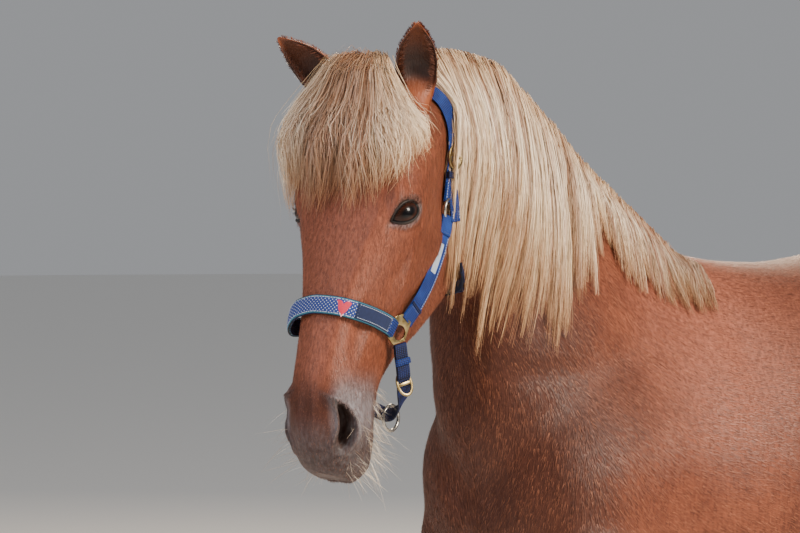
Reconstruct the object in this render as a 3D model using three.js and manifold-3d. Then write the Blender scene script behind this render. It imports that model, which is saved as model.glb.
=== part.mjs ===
// A standing Icelandic horse, life-size, with a flaxen mane and a webbing headcollar.
// Millimetres. +X runs from tail to nose, +Y to the horse's left, +Z up, and the hooves stand on z = 0.
import * as THREE from "three";
import { mergeVertices } from "three/addons/utils/BufferGeometryUtils.js";
import Module from "manifold-3d";

const wasm = await Module();
wasm.setup();

// Driving dimensions
const FRAME_SHIFT = [-128, 0, 0]; // brings the origin under the middle of the horse's box
const HEAD_TURN = THREE.MathUtils.degToRad(16); // to the horse's left
const TURN_FROM = 420; // where along the neck the turn begins
const TURN_TO = 720; // and where it ends
const FACE_TILT = THREE.MathUtils.degToRad(19); // of the nose line from the vertical
const HEAD_ORIGIN = { x: 1000, z: 1634 }; // the nose line, level with the poll
const GAP = 0.3; // between nodes that touch

// Helpers

const vec = (x, y, z) => new THREE.Vector3(x, y, z);

// A smooth curve with no overshoot through the points (xs, ys)
function smooth(xs, ys) {
  const n = xs.length;
  const step = xs.slice(1).map((x, i) => x - xs[i]);
  const rise = step.map((h, i) => (ys[i + 1] - ys[i]) / h);
  const slope = ys.map((_, i) => {
    if (i === 0) return rise[0];
    if (i === n - 1) return rise[n - 2];
    if (rise[i - 1] * rise[i] <= 0) return 0;
    const before = 2 * step[i] + step[i - 1];
    const after = step[i] + 2 * step[i - 1];
    return (before + after) / (before / rise[i - 1] + after / rise[i]);
  });
  return (x) => {
    let i = 0;
    while (i < n - 2 && x > xs[i + 1]) i++;
    const h = step[i];
    const t = THREE.MathUtils.clamp((x - xs[i]) / h, 0, 1);
    const [t2, t3] = [t * t, t * t * t];
    const ends = (2 * t3 - 3 * t2 + 1) * ys[i] + (3 * t2 - 2 * t3) * ys[i + 1];
    return ends + h * ((t3 - 2 * t2 + t) * slope[i] + (t3 - t2) * slope[i + 1]);
  };
}

// Rows of named sizes, each at its own place "at", as one smooth function of that place
function sizes(rows) {
  const places = rows.map((row) => row.at);
  const names = Object.keys(rows[0]).filter((name) => name !== "at");
  const curves = names.map((name) => smooth(places, rows.map((row) => row[name])));
  return (at) => Object.fromEntries(names.map((name, i) => [name, curves[i](at)]));
}

// Places from the first row to the last, closer together where a row asks for it
function places(rows, between) {
  const found = [];
  rows.slice(1).forEach((row, i) => {
    const count = Math.max(1, Math.round((row.at - rows[i].at) / between));
    for (let k = 0; k < count; k++) found.push(rows[i].at + ((row.at - rows[i].at) * k) / count);
  });
  return [...found, rows[rows.length - 1].at];
}

// A closed skin over rings of equally many points, with a fan at each end
function loft(rings) {
  const count = rings[0].length;
  const middle = (ring) => ring.reduce((sum, p) => sum.add(p), vec(0, 0, 0)).divideScalar(count);
  const points = [...rings.flat(), middle(rings[0]), middle(rings[rings.length - 1])];
  const first = rings.length * count;
  const faces = [];
  for (let i = 0; i < count; i++) {
    const next = (i + 1) % count;
    faces.push(first, next, i);
    for (let r = 0; r < rings.length - 1; r++) {
      const [a, b] = [r * count + i, r * count + next];
      faces.push(a, b, a + count, b, b + count, a + count);
    }
    const last = (rings.length - 1) * count;
    faces.push(first + 1, last + i, last + next);
  }
  const geometry = new THREE.BufferGeometry();
  geometry.setFromPoints(points);
  geometry.setIndex(faces);
  return geometry;
}

// A closed geometry as a solid, facing out
function solid(geometry) {
  const bare = geometry.clone();
  bare.deleteAttribute("normal");
  bare.deleteAttribute("uv");
  const merged = mergeVertices(bare, 1e-3);
  const vertProperties = new Float32Array(merged.attributes.position.array);
  const triVerts = new Uint32Array(merged.index.array);
  const made = new wasm.Manifold(new wasm.Mesh({ numProp: 3, vertProperties, triVerts }));
  if (made.volume() > 0) return made;
  for (let i = 0; i < triVerts.length; i += 3) {
    [triVerts[i + 1], triVerts[i + 2]] = [triVerts[i + 2], triVerts[i + 1]];
  }
  return new wasm.Manifold(new wasm.Mesh({ numProp: 3, vertProperties, triVerts }));
}

function geometryOf(made) {
  const mesh = made.getMesh();
  const position = new Float32Array(mesh.numVert * 3);
  for (let i = 0; i < mesh.numVert; i++) {
    position.set(mesh.vertProperties.subarray(i * mesh.numProp, i * mesh.numProp + 3), i * 3);
  }
  const geometry = new THREE.BufferGeometry();
  geometry.setAttribute("position", new THREE.BufferAttribute(position, 3));
  geometry.setIndex(new THREE.BufferAttribute(mesh.triVerts, 1));
  return geometry;
}

const join = (solids) => solids.reduce((sum, one) => sum.add(one));
const pieces = (made) => made.decompose().sort((a, b) => b.volume() - a.volume());
const largest = (made) => pieces(made)[0];

// Seeded, so that every run lays the same hair
function seeded(seed) {
  let state = seed;
  return () => {
    state = (state + 0x6d2b79f5) | 0;
    let t = Math.imul(state ^ (state >>> 15), 1 | state);
    t = (t + Math.imul(t ^ (t >>> 7), 61 | t)) ^ t;
    return ((t ^ (t >>> 14)) >>> 0) / 4294967296;
  };
}

// The soft pads of muscle, fat and bone that lift a skin away from its plain sections
function swell(point, out, pads) {
  pads.forEach(({ at, reach, lift }) => {
    [1, -1].forEach((side) => {
      const away =
        ((point.x - at[0]) / reach[0]) ** 2 +
        ((point.y - at[1] * side) / reach[1]) ** 2 +
        ((point.z - at[2]) / reach[2]) ** 2;
      if (away < 1 && (at[1] !== 0 || side > 0)) point.addScaledVector(out, lift * (1 - away) ** 2);
    });
  });
  return point;
}

// Bends the neck and head, built straight ahead, to the horse's left
function turned(point) {
  const along = point.x - TURN_FROM;
  if (along <= 0) return point;
  const length = TURN_TO - TURN_FROM;
  const radius = length / HEAD_TURN;
  const angle = Math.min(along / length, 1) * HEAD_TURN;
  const beyond = Math.max(along - length, 0);
  return vec(
    TURN_FROM + radius * Math.sin(angle) + beyond * Math.cos(angle) - point.y * Math.sin(angle),
    radius * (1 - Math.cos(angle)) + beyond * Math.sin(angle) + point.y * Math.cos(angle),
    point.z,
  );
}

const power = (value, exponent) => Math.sign(value) * Math.abs(value) ** exponent;

// Trunk: upright sections from the point of the buttock to the breast
const TRUNK = [
  { at: -742, top: 1136, mid: 1100, low: 1064, half: 28, peak: 0 },
  { at: -728, top: 1184, mid: 1098, low: 996, half: 92, peak: 0 },
  { at: -690, top: 1242, mid: 1095, low: 905, half: 152, peak: 0 },
  { at: -620, top: 1304, mid: 1092, low: 845, half: 200, peak: 0.08 },
  { at: -520, top: 1352, mid: 1090, low: 806, half: 230, peak: 0.14 },
  { at: -400, top: 1380, mid: 1078, low: 778, half: 243, peak: 0.16 },
  { at: -270, top: 1384, mid: 1045, low: 744, half: 249, peak: 0.16 },
  { at: -120, top: 1374, mid: 1012, low: 712, half: 258, peak: 0.12 },
  { at: 20, top: 1362, mid: 990, low: 690, half: 262, peak: 0.12 },
  { at: 140, top: 1367, mid: 990, low: 684, half: 252, peak: 0.2 },
  { at: 240, top: 1380, mid: 995, low: 688, half: 236, peak: 0.34 },
  { at: 340, top: 1384, mid: 1005, low: 698, half: 216, peak: 0.42 },
  { at: 440, top: 1368, mid: 1015, low: 710, half: 205, peak: 0.42 },
  { at: 530, top: 1322, mid: 1030, low: 740, half: 198, peak: 0.36 },
  { at: 600, top: 1258, mid: 1035, low: 792, half: 182, peak: 0.24 },
  { at: 656, top: 1190, mid: 1035, low: 870, half: 150, peak: 0.1 },
  { at: 694, top: 1130, mid: 1035, low: 946, half: 96, peak: 0 },
  { at: 708, top: 1080, mid: 1035, low: 992, half: 32, peak: 0 },
];
const TRUNK_SIDES = 24;
const TRUNK_STEP = 90;
const TRUNK_PADS = [
  { at: [520, 180, 1130], reach: [150, 130, 230], lift: 14 }, // shoulder blade
  { at: [440, 190, 940], reach: [110, 120, 150], lift: 20 }, // triceps
  { at: [640, 125, 1000], reach: [90, 80, 110], lift: 16 }, // point of the shoulder
  { at: [-520, 200, 1130], reach: [210, 160, 210], lift: 14 }, // haunch
  { at: [-300, 210, 1280], reach: [110, 110, 90], lift: 9 }, // point of the hip
  { at: [-340, 170, 900], reach: [120, 120, 120], lift: -16 }, // flank
];

function trunkRings() {
  const size = sizes(TRUNK);
  return places(TRUNK, TRUNK_STEP).map((x) => {
    const { top, mid, low, half, peak } = size(x);
    return Array.from({ length: TRUNK_SIDES }, (_, i) => {
      const angle = (i / TRUNK_SIDES) * 2 * Math.PI;
      const up = Math.cos(angle);
      const narrow = 1 - peak * Math.max(0, up) ** 1.5;
      const y = half * narrow * power(Math.sin(angle), 0.92);
      const z = mid + (up > 0 ? top - mid : mid - low) * power(up, 0.94);
      return swell(vec(x, y, z), vec(0, y, z - mid).normalize(), TRUNK_PADS);
    });
  });
}

// Neck: leaning sections, each from a place on the crest to one on the throat
const NECK = [
  { at: 0, crestX: 240, crestZ: 1366, throatX: 560, throatZ: 860, half: 160 },
  { at: 0.2, crestX: 335, crestZ: 1430, throatX: 692, throatZ: 1015, half: 150 },
  { at: 0.4, crestX: 440, crestZ: 1500, throatX: 742, throatZ: 1138, half: 128 },
  { at: 0.6, crestX: 562, crestZ: 1590, throatX: 757, throatZ: 1252, half: 104 },
  { at: 0.8, crestX: 700, crestZ: 1668, throatX: 768, throatZ: 1350, half: 87 },
  { at: 1, crestX: 832, crestZ: 1680, throatX: 800, throatZ: 1430, half: 76 },
  { at: 1.15, crestX: 928, crestZ: 1652, throatX: 874, throatZ: 1482, half: 64 },
];
const NECK_SIDES = 22;
const NECK_STEP = 0.1;
const CREST_NARROW = 0.42;

const neckSizes = sizes(NECK);

// A place on the neck, where share runs from 0 at the crest to 1 at the throat
function neckPoint(station, share, side) {
  const { crestX, crestZ, throatX, throatZ, half } = neckSizes(station);
  const across = 2 * Math.sqrt(Math.max(0, share * (1 - share)));
  const narrow = 1 - CREST_NARROW * (1 - share) ** 2;
  const x = crestX + (throatX - crestX) * share;
  const z = crestZ + (throatZ - crestZ) * share;
  return vec(x, side * half * narrow * across ** 0.9, z);
}

function neckRings() {
  return places(NECK, NECK_STEP).map((station) =>
    Array.from({ length: NECK_SIDES }, (_, i) => {
      const angle = (i / NECK_SIDES) * 2 * Math.PI;
      return neckPoint(station, (1 - Math.cos(angle)) / 2, Math.sin(angle) >= 0 ? 1 : -1);
    }),
  );
}

// Legs: level sections down the bones, with the fore-and-aft and sideways half sizes of each
const FORELEG = [
  { at: -985, x: 560, y: 112, long: 108, wide: 62 },
  { at: -900, x: 528, y: 138, long: 126, wide: 74 },
  { at: -820, x: 502, y: 150, long: 110, wide: 70 },
  { at: -740, x: 494, y: 152, long: 84, wide: 60 },
  { at: -640, x: 492, y: 150, long: 64, wide: 50 },
  { at: -540, x: 493, y: 146, long: 51, wide: 42 },
  { at: -470, x: 496, y: 142, long: 48, wide: 42 },
  { at: -425, x: 497, y: 140, long: 49, wide: 45 },
  { at: -380, x: 493, y: 138, long: 42, wide: 38 },
  { at: -330, x: 489, y: 137, long: 35, wide: 29 },
  { at: -250, x: 489, y: 136, long: 34, wide: 27 },
  { at: -205, x: 490, y: 135, long: 38, wide: 31 },
  { at: -170, x: 491, y: 134, long: 44, wide: 36 },
  { at: -138, x: 499, y: 134, long: 39, wide: 33 },
  { at: -110, x: 512, y: 134, long: 37, wide: 34 },
  { at: -76, x: 530, y: 134, long: 48, wide: 46 },
];
const HINDLEG = [
  { at: -1060, x: -540, y: 120, long: 170, wide: 72 },
  { at: -960, x: -518, y: 142, long: 188, wide: 88 },
  { at: -870, x: -495, y: 150, long: 168, wide: 86 },
  { at: -790, x: -512, y: 150, long: 132, wide: 74 },
  { at: -710, x: -560, y: 146, long: 98, wide: 60 },
  { at: -640, x: -612, y: 142, long: 72, wide: 48 },
  { at: -585, x: -648, y: 139, long: 64, wide: 40 },
  { at: -540, x: -664, y: 137, long: 64, wide: 41 },
  { at: -490, x: -667, y: 136, long: 56, wide: 43 },
  { at: -440, x: -674, y: 135, long: 45, wide: 36 },
  { at: -380, x: -678, y: 134, long: 38, wide: 30 },
  { at: -280, x: -678, y: 133, long: 36, wide: 28 },
  { at: -205, x: -676, y: 132, long: 41, wide: 33 },
  { at: -172, x: -674, y: 132, long: 45, wide: 37 },
  { at: -138, x: -664, y: 132, long: 40, wide: 34 },
  { at: -110, x: -650, y: 132, long: 38, wide: 35 },
  { at: -76, x: -631, y: 132, long: 48, wide: 46 },
];
const LEG_SIDES = 12;
const LEG_STEP = 70;
const STRIDES = { // how far each foot stands ahead of square
  foreleg_left: 12,
  foreleg_right: -34,
  hindleg_left: -28,
  hindleg_right: 46,
};
const CORONET_SLOPE = 15; // the coronet is this much higher at the toe than at its middle
const HOOF = { length: 62, width: 56, ahead: 17 };

// How far a leg's section at this height is carried forward by its stride
const carried = (stride, height, hip) => stride * Math.max(0, 1 - height / hip);

function legRing({ x, y, long, wide }, side, z, slope = 0) {
  return Array.from({ length: LEG_SIDES }, (_, i) => {
    const angle = (i / LEG_SIDES) * 2 * Math.PI;
    const forward = Math.cos(angle);
    return vec(x + long * forward, side * (y + wide * Math.sin(angle)), z + slope * forward);
  });
}

function leg(rows, name) {
  const side = name.endsWith("left") ? 1 : -1;
  const size = sizes(rows);
  const hip = -rows[0].at;
  const levels = places(rows, LEG_STEP);
  const rings = levels.map((at, i) => {
    const row = size(at);
    row.x += carried(STRIDES[name], -at, hip);
    return legRing(row, side, -at, i === levels.length - 1 ? CORONET_SLOPE : 0);
  });
  return solid(loft(rings));
}

// The horn hoof under a leg: it flares from the coronet to a flat sole
function hoof(rows, name) {
  const side = name.endsWith("left") ? 1 : -1;
  const end = rows[rows.length - 1];
  const top = -end.at - GAP;
  const place = { ...end, x: end.x + carried(STRIDES[name], -end.at, -rows[0].at) };
  const grown = (share) => ({
    x: place.x + HOOF.ahead * share,
    y: place.y,
    long: place.long + (HOOF.length - place.long) * share,
    wide: place.wide + (HOOF.width - place.wide) * share,
  });
  const rings = [
    legRing(place, side, top, CORONET_SLOPE),
    legRing(grown(0.25), side, top * 0.78, CORONET_SLOPE * 0.8),
    legRing(grown(0.93), side, top * 0.1),
    legRing(grown(1), side, 0),
  ];
  return solid(loft(rings));
}

// Head, built along its own axes: x down the nose from the poll, y to the left, z out of the forehead.
// Each section has the half widths and levels of the brow or nose edge, facial crest, cheek and jaw.
const HEAD_NAMES = ["at", "top", "brow", "drop", "crestZ", "crest", "cheekZ", "cheek", "low", "jaw"];
const HEAD = [
  [-44, -58, 38, 14, -96, 56, -138, 55, -172, 30],
  [0, -22, 48, 14, -78, 72, -140, 68, -202, 38],
  [50, -2, 62, 15, -62, 87, -142, 69, -230, 40],
  [100, 7, 76, 17, -54, 97, -146, 69, -252, 41],
  [150, 10, 85, 20, -50, 103, -154, 68, -262, 42],
  [195, 8, 75, 19, -60, 98, -160, 65, -262, 42],
  [245, 4, 58, 15, -72, 84, -156, 61, -247, 40],
  [300, 1, 44, 12, -72, 68, -138, 54, -214, 35],
  [355, 0, 36, 12, -64, 56, -113, 47, -174, 29],
  [405, -2, 34, 13, -62, 54, -103, 46, -154, 28],
  [445, -6, 35, 14, -62, 58, -104, 50, -153, 31],
  [485, -17, 36, 15, -69, 61, -112, 53, -161, 34],
  [518, -37, 32, 13, -82, 55, -121, 49, -164, 32],
  [541, -60, 23, 9, -95, 42, -124, 38, -154, 23],
  [554, -82, 11, 5, -104, 22, -122, 20, -138, 12],
].map((row) => Object.fromEntries(HEAD_NAMES.map((name, i) => [name, row[i]])));
const HEAD_STEP = 26;
const PER_EDGE = 3; // points of a section between two of its named places
const HEAD_PADS = [
  { at: [160, 92, -36], reach: [40, 34, 36], lift: 9 }, // rim of the eye socket
  { at: [100, 66, -22], reach: [28, 26, 34], lift: -7 }, // hollow over the eye
  { at: [262, 78, -76], reach: [80, 26, 15], lift: 6 }, // facial crest
  { at: [330, 50, -40], reach: [70, 26, 20], lift: -5 }, // hollow beside the nose
  { at: [185, 66, -165], reach: [85, 46, 80], lift: 10 }, // cheek
  { at: [205, 40, -240], reach: [70, 36, 40], lift: 6 }, // corner of the jaw
  { at: [492, 52, -48], reach: [36, 26, 30], lift: 8 }, // wing of the nostril
  { at: [505, 0, -140], reach: [34, 30, 26], lift: 8 }, // chin
  { at: [440, 0, -140], reach: [26, 30, 22], lift: -5 }, // chin groove
];

function headRing(size, x) {
  const s = size(x);
  const edge = [
    [s.top, 0],
    [s.top - s.drop, s.brow],
    [s.crestZ, s.crest],
    [s.cheekZ, s.cheek],
    [s.low + s.drop, s.jaw],
    [s.low, 0],
  ];
  const other = edge.slice(1, -1).reverse().map(([z, y]) => [z, -y]);
  const named = [...edge, ...other].map(([z, y]) => vec(x, y, z));
  const curve = new THREE.CatmullRomCurve3(named, true, "centripetal");
  const count = named.length * PER_EDGE;
  return Array.from({ length: count }, (_, i) => {
    const p = curve.getPoint(i / count);
    const out = vec(0, p.y, p.z - s.crestZ).normalize();
    return swell(p, out, HEAD_PADS);
  });
}

const headSizes = sizes(HEAD);
const alongNose = vec(Math.sin(FACE_TILT), 0, -Math.cos(FACE_TILT));
const outOfFace = vec(Math.cos(FACE_TILT), 0, Math.sin(FACE_TILT));
const headAhead = new THREE.Matrix4()
  .makeBasis(alongNose, vec(0, 1, 0), outOfFace)
  .setPosition(HEAD_ORIGIN.x, 0, HEAD_ORIGIN.z);
const turnEnd = turned(vec(TURN_TO, 0, 0));
const headTurned = new THREE.Matrix4()
  .makeTranslation(turnEnd.x, turnEnd.y, 0)
  .multiply(new THREE.Matrix4().makeRotationZ(HEAD_TURN))
  .multiply(new THREE.Matrix4().makeTranslation(-TURN_TO, 0, 0));
const headPlace = headTurned.clone().multiply(headAhead);

const inHead = (geometry) => solid(geometry.clone().applyMatrix4(headPlace));
const headSkin = loft(places(HEAD, HEAD_STEP).map((x) => headRing(headSizes, x)));

// Eyes
const EYE = { x: 169, y: 82, z: -40 };
const EYE_RADIUS = 24;
const LID = 4; // thickness of the lids over the ball
const EYE_OPENING = { length: 33, over: 14, under: 11 };
const EYE_FACING = vec(0.06, 0.87, 0.45).normalize();
const EYE_CORNERS = vec(0.72, -0.36, 0.59); // from the outer corner to the inner one
const OPENING_SIDES = 12;

function ball(at, radius, side, around = 14, down = 8) {
  const sphere = new THREE.SphereGeometry(radius, around, down);
  return sphere.translate(at.x, at.y * side, at.z);
}

// The almond between the lids, as a short tunnel that opens outward
function eyeOpening(side) {
  const out = EYE_FACING.clone();
  const long = EYE_CORNERS.clone().addScaledVector(out, -EYE_CORNERS.dot(out)).normalize();
  const tall = out.clone().cross(long).normalize();
  if (tall.x > 0) tall.negate();
  const ring = (depth, grow) =>
    Array.from({ length: OPENING_SIDES }, (_, i) => {
      const angle = (i / OPENING_SIDES) * 2 * Math.PI;
      const height = Math.sin(angle) > 0 ? EYE_OPENING.over : EYE_OPENING.under;
      const p = vec(EYE.x, EYE.y, EYE.z)
        .addScaledVector(out, depth)
        .addScaledVector(long, EYE_OPENING.length * grow * Math.cos(angle))
        .addScaledVector(tall, height * grow * power(Math.sin(angle), 1.25));
      return vec(p.x, p.y * side, p.z);
    });
  return loft([ring(8, 0.92), ring(20, 1), ring(60, 1.5)]);
}

// Nostrils and mouth
const NOSTRIL = { x: 489, y: 58, z: -45, long: 29, wide: 11, deep: 27 };
const NOSTRIL_INTO = vec(-0.35, -0.82, -0.45).normalize();
const NOSTRIL_LONG = vec(0.93, -0.1, -0.35);
const MOUTH = { from: 474, to: 580, z: -122, height: 3, depth: 9 };

function nostril(side) {
  const along = NOSTRIL_LONG.clone();
  along.addScaledVector(NOSTRIL_INTO, -along.dot(NOSTRIL_INTO)).normalize();
  const across = NOSTRIL_INTO.clone().cross(along);
  const shape = new THREE.SphereGeometry(1, 10, 6);
  shape.applyMatrix4(
    new THREE.Matrix4()
      .makeBasis(along, across, NOSTRIL_INTO)
      .multiply(new THREE.Matrix4().makeScale(NOSTRIL.long, NOSTRIL.wide, NOSTRIL.deep))
      .setPosition(NOSTRIL.x, NOSTRIL.y, NOSTRIL.z),
  );
  return shape.applyMatrix4(new THREE.Matrix4().makeScale(1, side, 1));
}

// The line between the lips: a slot that reaches only MOUTH.depth in
function mouth() {
  const slot = new THREE.BoxGeometry(MOUTH.to - MOUTH.from, 160, MOUTH.height);
  slot.translate((MOUTH.from + MOUTH.to) / 2, 0, MOUTH.z);
  const core = loft(
    [430, 460, 485, 510, 530, 542].map((x) => {
      const inset = (headSizes(x).cheek - MOUTH.depth) / headSizes(x).cheek;
      return headRing(headSizes, x).map((p) => vec(x, p.y * inset, p.z));
    }),
  );
  return inHead(slot).subtract(inHead(core));
}

// Ears: cups that open forward and outward, on short solid stalks
const EAR = { x: -4, y: { 1: 65, "-1": 73 }, z: -46, length: 135 };
const EAR_UPS = { 1: vec(-0.68, 0.3, 0.67).normalize(), "-1": vec(-0.58, 0.55, 0.6).normalize() };
const EAR_OPENS = { 1: vec(0.35, 0.62, 0.7), "-1": vec(0.42, -0.1, 0.9) }; // the way each cup opens
const EAR_ROWS = [
  { at: -0.16, width: 17, back: 17, cup: 1.2 },
  { at: 0, width: 21, back: 20, cup: 1.2 },
  { at: 0.14, width: 26, back: 22, cup: 0.7 },
  { at: 0.26, width: 29, back: 22, cup: -0.35 },
  { at: 0.44, width: 30, back: 20, cup: -0.72 },
  { at: 0.64, width: 26, back: 17, cup: -0.72 },
  { at: 0.82, width: 16, back: 11, cup: -0.62 },
  { at: 0.94, width: 7, back: 5, cup: -0.3 },
  { at: 1, width: 2, back: 2, cup: 0 },
];
const EAR_ARC = 6; // points of a section on each of its two arcs

function ear(side) {
  const size = sizes(EAR_ROWS);
  const up = EAR_UPS[side];
  const facing = EAR_OPENS[side].clone();
  facing.addScaledVector(up, -facing.dot(up)).normalize();
  const across = up.clone().cross(facing);
  const rings = places(EAR_ROWS, 0.18).map((share) => {
    const { width, back, cup } = size(share);
    const bow = 12 * share * share - 9 * Math.sin(Math.max(0, share) * Math.PI);
    const middle = vec(EAR.x, EAR.y[side], EAR.z)
      .addScaledVector(up, share * EAR.length)
      .addScaledVector(facing, bow);
    const arc = (inset, depth, from, to) =>
      Array.from({ length: EAR_ARC }, (_, i) => {
        const angle = from + ((to - from) * i) / (EAR_ARC - 1);
        return middle
          .clone()
          .addScaledVector(across, (width - inset) * Math.sin(angle))
          .addScaledVector(facing, depth * Math.cos(angle));
      });
    const outer = arc(0, -back, -1.75, 1.75);
    const inner = arc(Math.min(2.5, width * 0.2), back * cup, 1.6, -1.6);
    return [...outer, ...inner].map((p) => vec(p.x, p.y * side, p.z));
  });
  return inHead(loft(rings));
}

// Regions that cut one node from the next. "more" moves a region's inner faces outward by that much.

// A level prism over an outline in x and z
function slabOver(outline, halfWidth) {
  return loft([-halfWidth, halfWidth].map((y) => outline.map(([x, z]) => vec(x, y, z))));
}

const HEAD_REGION = [[-40, 120], [-40, -48], [34, -165], [150, -268], [178, -300], [640, -300], [640, 120]];
const NECK_REGION = [[160, 1400], [690, 975], [1500, 325], [1500, 2000], [160, 2000]];

const headRegion = (more) =>
  inHead(slabOver(HEAD_REGION.map(([x, z]) => [x < 600 ? x - more : x, z < 0 ? z - more : z]), 200));
const neckRegion = (more) => solid(slabOver(NECK_REGION, 400).translate(-more, 0, -more * 0.5));

const TAIL_REGION = [[-700, 1300], [-724, 1190], [-775, 1060], [-775, 300], [-1000, 300], [-1000, 1300]];
const tailRegion = (more) => solid(slabOver(TAIL_REGION.map(([x, z]) => [x > -900 ? x + more : x, z]), 60));

// Around a leg, from below the hoof to a slanting top inside the trunk
const LEG_REGIONS = {
  foreleg: { x: 470, long: 150, inner: 62, outer: 330, topInner: 735, topOuter: 960 },
  hindleg: { x: -545, long: 205, inner: 50, outer: 340, topInner: 800, topOuter: 1085 },
};
function legRegion(name, more) {
  const { x, long, inner, outer, topInner, topOuter } = LEG_REGIONS[name.slice(0, 7)];
  const side = name.endsWith("left") ? 1 : -1;
  const reach = 18;
  const ring = (top) =>
    Array.from({ length: reach }, (_, i) => {
      const angle = (i / reach) * 2 * Math.PI;
      const across = (1 + power(Math.sin(angle), 0.7)) / 2;
      const y = inner - more + (outer - inner + more) * across;
      const z = top ? topInner + (topOuter - topInner) * across + more : -60;
      return vec(x + (long + more) * power(Math.cos(angle), 0.9), side * y, z);
    });
  return solid(loft([ring(false), ring(true)]));
}

// [the part of a body inside a region, the rest of it a gap away]
const parted = (made, region) => [largest(made.intersect(region(0))), made.subtract(region(GAP))];

// Tail: a short dock of flesh and, around it, long hair
const DOCK = [
  { at: -30, x: -690, z: 1262, long: 34, wide: 34 },
  { at: 0, x: -728, z: 1240, long: 32, wide: 32 },
  { at: 60, x: -772, z: 1196, long: 28, wide: 29 },
  { at: 150, x: -796, z: 1108, long: 23, wide: 25 },
  { at: 260, x: -800, z: 1000, long: 16, wide: 18 },
  { at: 330, x: -800, z: 930, long: 7, wide: 8 },
];

// A place around a centre line in the middle plane, and the way out from it
function aroundLimb(size, at, angle, share = 1) {
  const { x, z, long, wide } = size(at);
  const [before, after] = [size(at - 4), size(at + 4)];
  const along = vec(after.x - before.x, 0, after.z - before.z).normalize();
  const back = vec(along.z, 0, -along.x);
  const out = vec(0, wide * Math.sin(angle), 0).addScaledVector(back, long * Math.cos(angle));
  return { at: vec(x, 0, z).addScaledVector(out, share), out: out.normalize() };
}

function limb(rows, step, sides, share = 1) {
  const size = sizes(rows);
  const rings = places(rows, step).map((at) =>
    Array.from({ length: sides }, (_, i) => aroundLimb(size, at, (i / sides) * 2 * Math.PI, share).at),
  );
  return solid(loft(rings));
}

const TAIL_HAIR = [
  { at: 0, x: -742, z: 1226, long: 40, wide: 38 },
  { at: 90, x: -800, z: 1165, long: 44, wide: 58 },
  { at: 250, x: -822, z: 1010, long: 50, wide: 82 },
  { at: 450, x: -818, z: 810, long: 50, wide: 92 },
  { at: 650, x: -806, z: 610, long: 42, wide: 80 },
  { at: 800, x: -798, z: 460, long: 26, wide: 50 },
  { at: 880, x: -794, z: 380, long: 6, wide: 10 },
];

// The skin before the turn, for laying straps and hair on
const aheadSkin = [loft(neckRings()), headSkin.clone().applyMatrix4(headAhead), loft(trunkRings())].map(
  (geometry) => new THREE.Mesh(geometry, new THREE.MeshBasicMaterial({ side: THREE.DoubleSide })),
);

// The first skin met from a point in a direction: where it is and which way it faces
function met(from, direction) {
  const ray = new THREE.Raycaster(from, direction.clone().normalize(), 0, 2000);
  const hit = ray.intersectObjects(aheadSkin)[0];
  if (!hit) return null;
  const facing = hit.face.normal.clone();
  return { at: hit.point, out: facing.dot(direction) > 0 ? facing.negate() : facing };
}

// A place on the head, by its distance down the nose and its angle around from the nose line to the left
function onHead(x, degrees, lift = 0) {
  const angle = THREE.MathUtils.degToRad(degrees);
  const { top, low } = headSizes(x);
  const away = vec(0, Math.sin(angle), Math.cos(angle));
  const middle = vec(x, 0, (top + low) / 2);
  const from = middle.clone().addScaledVector(away, 400).applyMatrix4(headAhead);
  const into = away.clone().negate().transformDirection(headAhead);
  const { at, out } = met(from, into);
  at.addScaledVector(into, -lift);
  return { at, out: into.negate().add(out).normalize() };
}

// A strap held tight past the cheek faces a little more forward than the skin under it
function facingForward({ at, out }, share = 0.5) {
  return { at, out: out.clone().addScaledVector(outOfFace, share).normalize() };
}

// A free place beside the head, in the head's own axes
function besideHead(x, y, z, under = 1) {
  const out = vec(0, y, (z + 100) * under).normalize().transformDirection(headAhead);
  return { at: vec(x, y, z).applyMatrix4(headAhead), out };
}

// Points and outward directions evenly along a path
function evenly(path, count) {
  const line = new THREE.CatmullRomCurve3(path.map(({ at }) => at), false, "centripetal");
  const facing = new THREE.CatmullRomCurve3(path.map(({ out }) => out), false, "centripetal");
  return Array.from({ length: count + 1 }, (_, i) => {
    const t = i / count;
    const along = line.getTangent(t);
    const out = facing.getPoint(t);
    out.addScaledVector(along, -out.dot(along)).normalize();
    return { at: line.getPoint(t), along, out, side: out.clone().cross(along) };
  });
}

// A flat strap along a path, with its lower face on the path; "more" makes every face stand out by that much
const STRAP = { width: 25, thick: 2.4, lift: 2.4 };
function strap({ path, count, width = STRAP.width, thick = STRAP.thick }, more = 0) {
  const steps = evenly(path, count);
  const rings = steps.map(({ at, out, side, along }, i) => {
    const end = i === 0 ? -more : i === steps.length - 1 ? more : 0;
    const corners = (across) => {
      const edge = at.clone().addScaledVector(side, (across * width) / 2);
      const hit = met(edge.clone().addScaledVector(out, 40), out.clone().negate());
      const height = hit ? hit.at.sub(edge).dot(out) : -40;
      edge.addScaledVector(out, Math.max(0, height + STRAP.lift));
      edge.addScaledVector(side, across * more).addScaledVector(along, end);
      return [-more, thick + more].map((up) => turned(edge.clone().addScaledVector(out, up)));
    };
    const [[a, b], [c, d]] = [corners(-1), corners(1)];
    return [a, c, d, b];
  });
  return solid(loft(rings));
}

// Turns a shape built around its own z axis so that z faces out and x runs along
function seated(geometry, { at, out }, along) {
  const x = along.clone().addScaledVector(out, -along.dot(out)).normalize();
  const place = new THREE.Matrix4().makeBasis(x, out.clone().cross(x), out).setPosition(at);
  return solid(geometry.clone().applyMatrix4(place).applyMatrix4(headTurned));
}

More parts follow.
